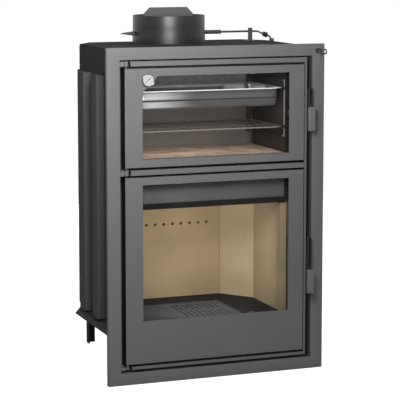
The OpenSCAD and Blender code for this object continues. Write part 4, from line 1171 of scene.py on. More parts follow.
@dataclass
class FrontFrame:
    """Flat frame with a folded lip, the bars round the doors and the bushes in them."""

    opening: tuple[float, float, float, float] = (-0.336, 0.040, 0.337, 1.061)
    corner_r: float = 0.003
    opening_r: float = 0.0015
    face_t: float = 0.004
    lip_t: float = 0.003
    edge: float = 0.0014
    rear_edge: float = 0.0004
    opening_edge_share: float = 0.6
    bar_edge: float = 0.0005
    bracket_edge: float = 0.0007
    plate_edge: float = 0.0008
    bush_edge: float = 0.0006
    rod_bore: float = 0.00355
    neck_r: float = 0.006
    flange_seat: float = 0.0001
    axle_bore: float = 0.00405
    axle_bush_r: float = 0.0065

    def build(self) -> list[bpy.types.Object]:
        """Build and dress every piece."""
        return [self.face(), *self.bars(), self.rod_bush(), self.axle_bushes()]

    def face(self) -> bpy.types.Object:
        """Frame face, its eased outer fold, the lip behind it and the opening's edge.

        Returns:
            The piece, a loop of rings carried round the frame's section.
        """
        outer = rounded(outline_of("front_frame", Axis.Y), self.corner_r)
        hole = rounded(oblong(*self.opening), self.opening_r)
        depth, e = span("front_frame")[1][1] - FACE_Y, self.rear_edge
        a = np.linspace(0, np.pi / 2, 4)
        draw, rise = self.edge * (1 - np.sin(a)), self.edge * (1 - np.cos(a))
        section = [(outer, d, r) for d, r in zip(draw, rise)]
        section += [(outer, 0.0, depth - e), (outer, e, depth), (outer, self.lip_t, depth),
                    (outer, self.lip_t, self.face_t), (hole, 0.0, self.face_t)]
        share = self.opening_edge_share
        section += [(hole, -d * share, r * share) for d, r in zip(draw[::-1], rise[::-1])]
        rings = np.stack([stand(shifted(o, d), FACE_Y + y, Axis.Y) for o, d, y in section])
        return add_piece("frame_face", loft(rings, joined=True), FRAME_PAINT, Body.CASING,
                         "front_frame")

    def bars(self) -> list[bpy.types.Object]:
        """Folded bars, hinge brackets and the plate that the doors close on."""
        return eased_copies(
            (BAR_PAINT, self.bar_edge, ("top_bar", "middle_bar", "bottom_bar", "latch_bar")),
            (BAR_PAINT, self.bracket_edge, ("hinge_brackets",)),
            (MOUTH_PAINT, self.plate_edge, ("front_plate",)))

    def rod_bush(self) -> bpy.types.Object:
        """Flanged bush of the pull rod.

        Returns:
            The piece, turned from a closed profile.
        """
        low, high = span("rod_bush")
        bore, neck, flange, e = self.rod_bore, self.neck_r, (high[0] - low[0]) / 2, self.bush_edge
        front, rear = low[1] - FACE_Y, high[1] - FACE_Y
        profile = [(bore + e, front), (flange - e, front), (flange, front + e),
                   (flange, -self.flange_seat), (neck, -self.flange_seat), (neck, rear),
                   (bore, rear), (bore, front + e)]
        bush = turned(profile, face_middle("rod_bush"), Axis.Y, segments=40, ring=True)
        return add_piece("rod_bush_turned", bush, LEVER_PAINT, Body.CASING, "rod_bush")

    def axle_bushes(self) -> bpy.types.Object:
        """Plain bushes of the levers' axles.

        Returns:
            The piece, two closed profiles turned about X.
        """
        low, high = span("latch_bushes")
        r, bore, e, reach = self.axle_bush_r, self.axle_bore, self.bush_edge, high[0] - low[0]
        profile = [(bore, 0), (r - e, 0), (r, e), (r, reach), (bore, reach)]
        rims = [turned(profile, [low[0], low[1] + r, z], Axis.X, segments=32, ring=True)
                for z in (low[2] + r, high[2] - r)]
        return add_piece("latch_bush_rings", rims, UNDER_PAINT, Body.CASING, "latch_bushes")


@dataclass
class Casing:
    """Folded body with its air channels, skirts, plates, legs and ash box."""

    channel_w: float = 0.082
    channel_out: float = 0.016
    side_channel_w: float = 0.072
    side_channel_out: float = 0.025
    channel_slope: float = 0.006
    channel_edge: float = 0.0016
    fold: float = 0.0045
    foot_r: float = 0.0004
    channel_pitch: float = 0.145
    first_channel: float = 0.142
    back_pitch: float = 0.1615
    cut_w: float = 0.062
    cut_d: float = 0.085
    seat: float = 0.0002
    sheet_edge: float = 0.0008
    pan_edge: float = 0.0005
    weld: float = 0.0016
    weld_swell: float = 0.18
    weld_waves: float = 700.0
    weld_sink: float = 0.0006
    fold_sink: float = 0.0004
    weld_end: float = 0.002
    leg_w: float = 0.030
    leg_t: float = 0.004
    leg_edge: float = 0.0005
    heel_r: float = 0.0006
    back_r: float = 0.0008
    toe_r: float = 0.0018
    root_r: float = 0.003

    def build(self) -> list[bpy.types.Object]:
        """Build and dress every piece."""
        made = eased_copies(
            (CASING_SHADED_PAINT, self.sheet_edge, ("side_walls", "back_wall", "corner_panels")),
            (TOP_SHADED_PAINT, self.sheet_edge, ("top_plate",)),
            (UNDER_PAINT, self.sheet_edge, ("base_plate", "base_skirts", "ash_box")),
            (PAN_PAINT, self.pan_edge, ("ash_pan",)))
        return [*made, self.channels(), self.welds(), self.legs()]

    def channel_plan(self, width: float, out: float) -> Array:
        """Trapezoid with rounded folds, its foot on the X axis.

        Args:
            width: width of its foot.
            out: how far it stands out.

        Returns:
            The outline.
        """
        w, s = width / 2, self.channel_slope
        corners = np.array([[-w, 0], [w, 0], [w - s, out], [-w + s, out]])
        reach = np.array([self.foot_r, self.foot_r, self.fold, self.fold])
        return rounded(corners, reach, steps=5)

    def channel_places(self) -> list[tuple[Array, float, float, float]]:
        """Plan, foot and direction of each channel.

        Returns:
            Rows of plan, x, y and the angle of its outward side, counted from +Y.
        """
        side = self.channel_plan(self.side_channel_w, self.side_channel_out)
        rear = self.channel_plan(self.channel_w, self.channel_out)
        wall_x = span("side_walls")[1][0]
        back_y = span("back_wall")[1][1] + self.seat
        side_y = FACE_Y + self.first_channel + self.side_channel_w / 2
        turn = math.atan2(self.cut_d, self.cut_w)
        mid_x = wall_x - self.cut_w / 2 + math.sin(turn) * self.seat
        mid_y = back_y - self.cut_d / 2
        rows = [(side, s * (wall_x + self.seat), side_y + i * self.channel_pitch,
                 -s * math.pi / 2) for s in (-1, 1) for i in (0, 1)]
        rows += [(rear, s * mid_x, mid_y, -s * turn) for s in (-1, 1)]
        return rows + [(rear, i * self.back_pitch, back_y, 0.0) for i in (-1, 0, 1)]

    def channels(self) -> bpy.types.Object:
        """Air channels: each plan carried up the wall.

        Returns:
            The piece, whose plans are turned by (x cos a - y sin a, x sin a + y cos a).
        """
        low, high = span("air_channels")
        shells = []
        for plan, x, y, a in self.channel_places():
            turn = np.array([[math.cos(a), math.sin(a)], [-math.sin(a), math.cos(a)]])
            shells.append(slab(plan @ turn + [x, y], low[2], high[2], Axis.Z,
                               self.channel_edge, steps=3))
        return add_piece("air_channels_folded", shells, CHANNEL_PAINT, Body.CASING,
                         "air_channels")

    def welds(self) -> bpy.types.Object:
        """Weld beads up the body's four vertical corners.

        Returns:
            The piece, bars whose radius is r (1 + 0.18 sin 700 s) at the share s of
            their height.
        """
        low, high = span("side_walls")
        back_y = span("back_wall")[1][1]
        z0, z1 = low[2] + self.weld_end, high[2] - self.weld_end
        s = np.linspace(0, 1, 260)[:, None]
        radius = self.weld * (1 + self.weld_swell * np.sin(s[:, 0] * self.weld_waves))
        corners = ((high[0] - self.weld_sink, high[1] - self.fold_sink),
                   (high[0] - self.cut_w, back_y - self.weld_sink))
        beads = [tube(np.array([side * x, y, z0]) + s * np.array([0, 0, z1 - z0]), radius,
                      (0, 1, 0), sides=6) for side in (-1, 1) for x, y in corners]
        return add_piece("corner_welds", beads, CASING_SHADED_PAINT, Body.CASING, "corner_panels",
                         stands_in=False)

    def legs(self) -> bpy.types.Object:
        """Legs of rolled angle with a rounded root and eased toes.

        Returns:
            The piece.
        """
        low, high = span("legs")
        w, t = self.leg_w, self.leg_t
        angle = np.array([[0, 0], [w, 0], [w, t], [t, t], [t, w], [0, w]])
        reach = np.array([self.heel_r, self.back_r, self.toe_r, self.root_r, self.toe_r,
                          self.back_r])
        shells = []
        for x, sx in ((low[0], 1), (high[0], -1)):
            for y, sy in ((low[1], 1), (high[1], -1)):
                plan = rounded(angle, reach, steps=3) * [sx, sy] + [x, y]
                plan = plan if sx * sy > 0 else plan[::-1]
                shells.append(slab(plan, low[2], high[2], Axis.Z, self.leg_edge))
        return add_piece("legs_rolled", shells, UNDER_PAINT, Body.CASING, "legs")


@dataclass
class Firebox:
    """Lined firebox: hearth, grate, boards, baffle and air bar."""

    board_edge: float = 0.0018
    iron_edge: float = 0.0014
    grate_edge: float = 0.001
    air_bar_edge: float = 0.0006
    ash_in: float = 0.010
    ash_drop: float = 0.0025
    ash_t: float = 0.003
    ash_edge: float = 0.0005

    def build(self) -> list[bpy.types.Object]:
        """Build and dress every piece.

        Returns:
            The pieces.
        """
        boards = eased_copies(
            (LINING, self.board_edge, ("back_lining",)),
            (CORNER_LINING, self.board_edge, ("corner_linings",)),
            (SIDE_LINING, self.board_edge, ("side_linings", "baffle_board")), segments=3)
        iron = eased_copies((HEARTH_IRON, self.iron_edge, ("hearth_plate",)),
                            (GRATE_IRON, self.grate_edge, ("grate",)),
                            (AIR_BAR_PAINT, self.air_bar_edge, ("air_bar",)))
        return [*boards, *iron, self.ash()]

    def ash(self) -> bpy.types.Object:
        """Bed of ash that fills the grate's slots from below.

        Returns:
            The piece.
        """
        top = span("grate")[1][2] - self.ash_drop
        bed = slab(outline_of("grate", Axis.Z, self.ash_in), top - self.ash_t, top, Axis.Z,
                   self.ash_edge)
        return add_piece("ash_bed", bed, ASH, Body.CASING, "grate", stands_in=False)


@dataclass
class Oven:
    """Oven chamber with its stone, racks, grid and roasting tray."""

    stone_r: float = 0.004
    stone_edge: float = 0.002
    wire: float = 0.0025
    thin: float = 0.0015
    grid_wires: int = 19
    grid_corner: float = 0.012
    grid_pitch: float = 0.006
    weld_lap: float = 0.6
    rail_lap: float = 0.0005
    grid_play: float = 0.0002
    tray_play: float = 0.0004
    rim: float = 0.010
    rim_h: float = 0.003
    rim_r: float = 0.012
    tray_t: float = 0.0015
    tray_r: float = 0.025
    bead: float = 0.0016
    bead_flat: float = 0.0015
    bead_half: float = 0.004

    def build(self) -> list[bpy.types.Object]:
        """Build and dress every piece.

        Returns:
            The pieces.
        """
        dress(OVEN_ENAMEL, "oven_floor", "oven_side_walls")
        dress(OVEN_REAR, "oven_back")
        dress(OVEN_TOP, "oven_ceiling")
        return [self.stone(), self.racks(), self.grid(), self.tray()]

    def stone(self) -> bpy.types.Object:
        """Baking stone with rounded arrises.

        Returns:
            The piece.
        """
        low, high = span("oven_stone")
        plan = rounded(outline_of("oven_stone", Axis.Z), self.stone_r, steps=5)
        stone = slab(plan, low[2], high[2], Axis.Z, self.stone_edge, steps=4)
        return add_piece("baking_stone", stone, CLAY, Body.CASING, "oven_stone")

    def racks(self) -> bpy.types.Object:
        """Rack frames: two uprights and four rails of round wire on each side.

        Returns:
            The piece.
        """
        low, high = span("rack_supports")
        r = self.wire
        grid_z = span("wire_grid")[0][2] + r
        rim_z = span("roasting_tray")[1][2] - self.rim_h
        rails = (low[2] + r, grid_z - 2 * r - self.grid_play, rim_z - r - self.tray_play,
                 high[2] - r)
        shells = []
        for s in (-1, 1):
            x, rail_x = s * (high[0] - r), s * (high[0] - 3 * r + self.rail_lap)
            shells += [rod((x, y, low[2]), (x, y, high[2]), r)
                       for y in (low[1] + r, high[1] - r)]
            shells += [rod((rail_x, low[1], z), (rail_x, high[1], z), r) for z in rails]
        return add_piece("rack_wires", shells, RACK_PLATE, Body.CASING, "rack_supports")

    def grid(self) -> bpy.types.Object:
        """Wire grid: a bent frame, two ties and the thin wires welded across them.

        Returns:
            The piece.
        """
        low, high = span("wire_grid")
        r, t = self.wire, self.thin
        z = low[2] + r
        x, y0, y1 = high[0] - r, low[1] + r, high[1] - r
        loop = even(rounded(oblong(-x, y0, x, y1), self.grid_corner, steps=8),
                    self.grid_pitch)
        shells = [tube(stand(loop, z, Axis.Z), r, (0, 0, 1), closed=True, sides=12)]
        shells += [rod((-x, y, z), (x, y, z), t, sides=10)
                   for y in (y0 + (y1 - y0) * k / 3 for k in (1, 2))]
        lap = r * self.weld_lap
        shells += [rod((wx, y0 - lap, z + t), (wx, y1 + lap, z + t), t, sides=10)
                   for wx in np.linspace(-x, x, self.grid_wires + 2)[1:-1]]
        return add_piece("grid_wires", shells, WIRE_PLATE, Body.CASING, "wire_grid")

    def tray_section(self) -> list[tuple[float, float]]:
        """Section of the tray: distances out from its wall, and heights.

        It runs from the middle of the underside, up the wall with its bead, round the
        rolled rim and down the inside again.

        Returns:
            Pairs of distance and height.
        """
        low, high = span("roasting_tray")
        rim, t, bottom, top = self.rim, self.tray_t, low[2], high[2]
        rim_z = top - self.rim_h
        mid = (bottom + rim_z) / 2
        bead = [(0.0, -self.bead_half), (self.bead, -self.bead_flat),
                (self.bead, self.bead_flat), (0.0, self.bead_half)]
        foot = [(-0.012, bottom), (-0.006, bottom + 0.0012), (-0.002, bottom + 0.005),
                (0.0, bottom + 0.012)]
        flange = [(0.0, rim_z - 0.003), (0.0012, rim_z - 0.0008), (0.003, rim_z),
                  (rim - 0.003, rim_z)]
        roll = [(rim - 0.0008, rim_z + 0.0005), (rim, rim_z + 0.0015),
                (rim - 0.0006, top - 0.0004), (rim - 0.002, top), (rim - 0.0035, top - 0.0006),
                (rim - 0.0045, rim_z + t)]
        mouth = [(0.0025, rim_z + t), (0.0, rim_z + t - 0.0015), (-t, rim_z - 0.004)]
        basin = [(-t, bottom + 0.014), (-t - 0.003, bottom + 0.006),
                 (-t - 0.009, bottom + t + 0.0006), (-t - 0.016, bottom + t)]
        return [*foot, *((g, mid + h) for g, h in bead), *flange, *roll, *mouth,
                *((g - t, mid + h) for g, h in bead[::-1]), *basin]

    def tray(self) -> bpy.types.Object:
        """Pressed tray: plans of one rounded rectangle stacked along its section.

        Returns:
            The piece.
        """
        wall = outline_of("roasting_tray", Axis.Z, self.rim)
        rings = []
        for g, z in self.tray_section():
            r = self.tray_r + (g if g < 0 else (self.rim_r - self.tray_r) * g / self.rim)
            plan = wall + np.array([[-g, -g], [g, -g], [g, g], [-g, g]])
            rings.append(stand(rounded(plan, r, steps=8), z, Axis.Z))
        return add_piece("tray_pressed", loft(np.stack(rings)), TRAY_STEEL, Body.CASING,
                         "roasting_tray", sharp=60)


@dataclass
class Door:
    """One glazed door: frame, glass, glass tape, rope seal, clips and pins."""

    name: str
    body: Body
    window: tuple[float, float, float, float]
    corner_cut: float = 0.0
    fold: float = 0.0006
    clip_edge: float = 0.0004
    glass_edge: float = 0.0006
    glass_r: float = 0.002
    rope_r: float = 0.0048
    rope_pitch: float = 0.0024
    strands: int = 3
    strand_pitch: float = 0.0105
    lobe: float = 0.07
    tape_w: float = 0.007
    tape_in: float = 0.0006
    tape_rise: tuple[float, float] = (0.00005, 0.00018)
    tape_edge: float = 0.00004
    pin_r: float = 0.004
    pin_in: float = 0.020
    pin_edge: float = 0.0006
    washer_r: float = 0.007
    washer_foot: float = 0.0088
    washer_play: float = 0.0002

    def build(self) -> list[bpy.types.Object]:
        """Build and dress every piece.

        Returns:
            The pieces.
        """
        frame_piece = eased_copy(self.name + "_door_frame", DOOR_PAINT, self.body, self.fold,
                                 segments=3)
        clips = eased_copy(self.name + "_glass_clips", ZINC, self.body, self.clip_edge)
        return [frame_piece, self.glass(), self.tape(), self.seal(), clips, self.pins()]

    def pane_plan(self, inset: float = 0.0) -> Array:
        """Outline of the glass, its upper left corner cut where the window's is.

        Args:
            inset: how far the outline is drawn in from the glass's edge.

        Returns:
            The outline, with rounded corners.
        """
        grow = self.window[0] - span(self.name + "_glass")[0][0] - inset
        x0, z0, x1, z1 = np.array(self.window) + grow * np.array([-1, -1, 1, 1])
        plan = oblong(x0, z0, x1, z1)
        if self.corner_cut:
            cut = self.corner_cut + (2 - math.sqrt(2)) * grow
            plan = np.array([[x0, z0], [x1, z0], [x1, z1], [x0 + cut, z1], [x0, z1 - cut]])
        return rounded(plan, self.glass_r)

    def glass(self) -> bpy.types.Object:
        """Ceramic pane with ground edges.

        Returns:
            The piece.
        """
        node = self.name + "_glass"
        low, high = span(node)
        pane = slab(self.pane_plan(), low[1], high[1], Axis.Y, self.glass_edge)
        return add_piece(node + "_pane", pane, DOOR_GLASS, self.body, node)

    def tape(self) -> bpy.types.Object:
        """Woven tape pressed round the pane's rear edge.

        Returns:
            The piece.
        """
        rear = span(self.name + "_glass")[1][1]
        front, back = (rear + rise for rise in self.tape_rise)
        rim = band(self.pane_plan(self.tape_in), self.pane_plan(self.tape_w), front, back,
                   Axis.Y, self.tape_edge)
        return add_piece(self.name + "_glass_tape", rim, TAPE, self.body,
                         self.name + "_door_seal", stands_in=False)

    def seal(self) -> bpy.types.Object:
        """Laid rope seal round the door's back.

        Returns:
            The piece, a loop whose radius is r (0.93 + 0.07 cos(3 u - 2 pi s / p)) at
            angle u and distance s, p being the distance from strand to strand.
        """
        node = self.name + "_door_seal"
        r, n = self.rope_r, self.strands
        path = even(rounded(outline_of(node, Axis.Y, r), 2 * r, steps=8), self.rope_pitch)
        turns = round(len(path) * self.rope_pitch / (n * self.strand_pitch))
        s = np.arange(len(path)) / len(path) * turns * n
        u = np.linspace(0, 2 * np.pi, 15, endpoint=False)
        radius = r * (1 - self.lobe + self.lobe * np.cos(n * u[None, :]
                                                         - 2 * np.pi * s[:, None]))
        loop = tube(stand(path, span(node)[0][1] + r, Axis.Y), radius, (0, 1, 0), closed=True,
                    sides=len(u))
        return add_piece(node + "_rope", loop, ROPE, self.body, node, sharp=80)

    def pins(self) -> bpy.types.Object:
        """Hinge pins: the lower one carries the washer that the door stands on.

        Returns:
            The piece, two profiles turned about Z.
        """
        node = self.name + "_hinge_pins"
        low, high = span(node)
        door_low, door_high = span(self.name + "_door_frame")
        r, w, e = self.pin_r, self.washer_r, self.pin_edge
        foot, seat = door_low[2] - self.washer_foot, door_low[2] - self.washer_play
        top, bottom = door_low[2] + self.pin_in, door_high[2] - self.pin_in
        lower = [(0, low[2]), (r - e, low[2]), (r, low[2] + e), (r, foot), (w - e, foot),
                 (w, foot + e), (w, seat - e), (w - e, seat), (r, seat), (r, top - e),
                 (r - e, top), (0, top)]
        upper = [(0, bottom), (r - e, bottom), (r, bottom + e), (r, high[2] - e),
                 (r - e, high[2]), (0, high[2])]
        centre = middle(node) * [1, 1, 0]
        return add_piece(node + "_turned", [turned(p, centre, Axis.Z, segments=32)
                                            for p in (lower, upper)],
                         PIN_STEEL, self.body, node)


@dataclass
class Thermometer:
    """Dial thermometer in the oven door.

    Its depths count forwards from the frame's face. Where a size has two values for the
    marks, the first is that of the longer ones.
    """

    ticks: int = 31
    start: float = 225.0
    sweep: float = 270.0
    scale: tuple[int, int] = (50, 350)
    numbers: tuple[int, ...] = (50, 150, 250, 350)
    segments: int = 72
    stem_r: float = 0.0035
    tip: float = 0.003
    bezel: float = 0.00125
    heel: float = 0.0008
    dial_seat: float = 0.004
    dial_face: float = 0.005
    dial_edge: float = 0.0002
    spindle_r: float = 0.0015
    mark_in: float = 0.0012
    mark_l: tuple[float, float] = (0.0034, 0.0020)
    mark_half: tuple[float, float] = (3e-4, 1.6e-4)
    mark_depth: tuple[float, float] = (0.00512, 0.00498)
    mark_edge: float = 0.00002
    figure_r: float = 0.0108
    figure_h: float = 0.0042
    figure_depth: float = 0.00506
    figure_half: float = 0.00006
    needle_tip: tuple[float, float] = (0.015, 0.0003)
    needle_tail: tuple[float, float] = (0.007, 0.0016)
    needle_waist: float = 0.0009
    needle_depth: tuple[float, float] = (0.0064, 0.0056)
    needle_edge: float = 0.0001
    hub: tuple[tuple[float, float], ...] = (
        (0, 0.0043), (0.0012, 0.0043), (0.0012, 0.0056), (0.002, 0.0056), (0.0019, 0.0062),
        (0.0012, 0.0065), (0, 0.0066))
    dome: float = 0.0006

    def build(self) -> list[bpy.types.Object]:
        """Build and dress every piece."""
        return [self.case(), self.dial(), self.marks(), self.figures(), self.pointer(),
                self.lens()]

    def centre(self) -> Array:
        """Middle of the case in front view, at the frame's face."""
        return face_middle("thermometer_case")

    def turn(self, profile: Sequence[Sequence[float]], ring: bool = False) -> Shell:
        """Profile of radii and depths turned about the case's middle."""
        return turned(profile, self.centre(), Axis.Y, self.segments, ring=ring, back=True)

    def angle(self, share: float | Array) -> float | Array:
        """Angle in radians at a share of the scale, counted from +X."""
        return np.radians(self.start - self.sweep * share)

    def case(self) -> bpy.types.Object:
        """Case with a rolled bezel and a stem with a rounded tip.

        Returns:
            The piece, turned about Y.
        """
        low, high = span("thermometer_case")
        r, h, stem = (high[0] - low[0]) / 2, FACE_Y - low[1], high[1] - FACE_Y
        b, s = self.bezel, self.stem_r
        roll = [(r - b + b * math.cos(t), h - b + b * math.sin(t))
                for t in np.linspace(0, np.pi, 9)]
        profile = [(0, -stem), (s * 0.6, -stem + self.tip / 5), (s, -stem + self.tip), (s, 0),
                   (r - self.heel, 0), (r, self.heel), *roll, (r - 2 * b, self.dial_seat),
                   (0, self.dial_seat)]
        return add_piece("gauge_case", self.turn(profile), BEZEL_STEEL, Body.OVEN_DOOR,
                         "thermometer_case")

    def dial_r(self) -> float:
        """Radius of the dial."""
        low, high = span("thermometer_dial")
        return (high[0] - low[0]) / 2

    def dial(self) -> bpy.types.Object:
        """Dial plate with a hole for the spindle.

        Returns:
            The piece, turned about Y.
        """
        r, hole, e, face = self.dial_r(), self.spindle_r, self.dial_edge, self.dial_face
        profile = [(hole, self.dial_seat), (r, self.dial_seat), (r, face - e), (r - e, face),
                   (hole, face)]
        return add_piece("gauge_dial", self.turn(profile, ring=True), DIAL, Body.OVEN_DOOR,
                         "thermometer_dial")

    def marks(self) -> bpy.types.Object:
        """Scale marks: short bars set round an arc, every fifth one longer.

        Returns:
            The piece, whose bars are turned to their angles as whole arrays.
        """
        r = self.dial_r() - self.mark_in
        a = self.angle(np.linspace(0, 1, self.ticks))
        longer = np.arange(self.ticks) % 5 == 0
        inner, half = r - np.where(longer, *self.mark_l), np.where(longer, *self.mark_half)
        out = np.stack([np.cos(a), np.sin(a)], axis=1)
        side = np.stack([-np.sin(a), np.cos(a)], axis=1) * half[:, None]
        middle_xz = self.centre()[[0, 2]]
        front, rear = (FACE_Y - depth for depth in self.mark_depth)
        shells = []
        for o, s, i in zip(out, side, inner):
            flat = np.stack([o * i + s, o * i - s, o * r - s, o * r + s]) + middle_xz
            shells.append(slab(flat, front, rear, Axis.Y, self.mark_edge, steps=1))
        return add_piece("gauge_marks", shells, DIAL_INK, Body.OVEN_DOOR, "thermometer_dial",
                         stands_in=False)

    def figures(self) -> bpy.types.Object:
        """Plain numbers beside the longer marks, made a mesh before they are placed.

        Returns:
            The piece.
        """
        c, r = self.centre(), self.figure_r
        first, last = self.scale
        upright = Matrix.Rotation(math.pi / 2, 4, "X")
        work = bmesh.new()
        for value in self.numbers:
            text = bpy.data.curves.new("figure", "FONT")
            text.body, text.size, text.extrude = str(value), self.figure_h, self.figure_half
            text.align_x, text.align_y = "CENTER", "CENTER"
            holder = placed("figure", text)
            bpy.context.view_layer.update()
            mesh = bpy.data.meshes.new_from_object(holder)
            bpy.data.objects.remove(holder)
            a = self.angle((value - first) / (last - first))
            place = (c[0] + r * math.cos(a), FACE_Y - self.figure_depth,
                     c[2] + r * math.sin(a))
            mesh.transform(Matrix.Translation(place) @ upright)
            work.from_mesh(mesh)
        joined = bpy.data.meshes.new("gauge_figures")
        work.to_mesh(joined)
        work.free()
        return fit(placed("gauge_figures", joined), DIAL_INK, Body.OVEN_DOOR,
                   "thermometer_dial", stands_in=False)

    def pointer(self) -> bpy.types.Object:
        """Tapered pointer with its tail and hub, at the start of the scale.

        Returns:
            The piece.
        """
        a, c = float(self.angle(0.0)), self.centre()
        run, side = np.array([math.cos(a), math.sin(a)]), np.array([-math.sin(a), math.cos(a)])
        (tip, tip_half), (tail, tail_half) = self.needle_tip, self.needle_tail
        waist = self.needle_waist
        shape = np.array([[-tail, -tail_half], [0, -waist], [tip, -tip_half], [tip, tip_half],
                          [0, waist], [-tail, tail_half]])
        flat = shape[:, :1] * run + shape[:, 1:] * side + c[[0, 2]]
        front, rear = (FACE_Y - depth for depth in self.needle_depth)
        needle = slab(flat, front, rear, Axis.Y, self.needle_edge, steps=1)
        hub = turned(self.hub, c, Axis.Y, segments=32, back=True)
        return add_piece("gauge_pointer", [needle, hub], DIAL_INK, Body.POINTER,
                         "thermometer_pointer")

    def lens(self) -> bpy.types.Object:
        """Slightly domed lens inside the bezel.

        Returns:
            The piece, whose front bulges by d (1 - (x / r)^2) over its rim.
        """
        low, high = span("thermometer_lens")
        r, rear, d = (high[0] - low[0]) / 2, FACE_Y - high[1], self.dome
        front = [(r * t, rear + d + d * (1 - t * t)) for t in np.linspace(0, 1, 7)[::-1]]
        return add_piece("gauge_lens", self.turn([(0, rear), (r, rear), *front]), LENS_GLASS,
                         Body.OVEN_DOOR, "thermometer_lens", sharp=50)


@dataclass
class Latch:
    """One lever with its grip."""

    name: str
    body: Body
    edge: float = 0.0007
    grip_edge: float = 0.0022
    grip_front_r: float = 0.004
    grip_rear_r: float = 0.0012
    tang_t: float = 0.0042
    screw_r: float = 0.0028
    screw_x: float = 0.002
    screw_in: tuple[float, float] = (0.026, 0.018)

    def build(self) -> list[bpy.types.Object]:
        """Build and dress every piece."""
        lever = eased_copy(self.name + "_latch_lever", LEVER_PAINT, self.body, self.edge)
        return [lever, self.grip(), self.screws()]

    def grip(self) -> bpy.types.Object:
        """Flat grip with rounded front arrises and eased ends.

        Returns:
            The piece.
        """
        node = self.name + "_latch_grip"
        low, high = span(node)
        reach = np.array([self.grip_front_r] * 2 + [self.grip_rear_r] * 2)
        shape = slab(rounded(outline_of(node, Axis.Z), reach, steps=6), low[2], high[2], Axis.Z,
                     self.grip_edge, steps=5)
        return add_piece(node + "_shaped", shape, GRIP_PAINT, self.body, node, sharp=60)

    def screws(self) -> bpy.types.Object:
        """Two pan-head screws that hold the grip from behind its tang.

        Returns:
            The piece.
        """
        node = self.name + "_latch_grip"
        low, high = span(node)
        x, y, r = middle(node)[0] + self.screw_x, high[1] + self.tang_t, self.screw_r
        head = [(0, 0), (r, 0), (r, 0.0006), (r * 0.8, 0.0014), (r * 0.3, 0.0018),
                (0, 0.0018)]
        heads = [turned(head, [x, y, z], Axis.Y, segments=24)
                 for z in (low[2] + self.screw_in[0], high[2] - self.screw_in[1])]
        return add_piece(self.name + "_grip_screws", heads, ZINC, self.body,
                         self.name + "_latch_lever", stands_in=False)


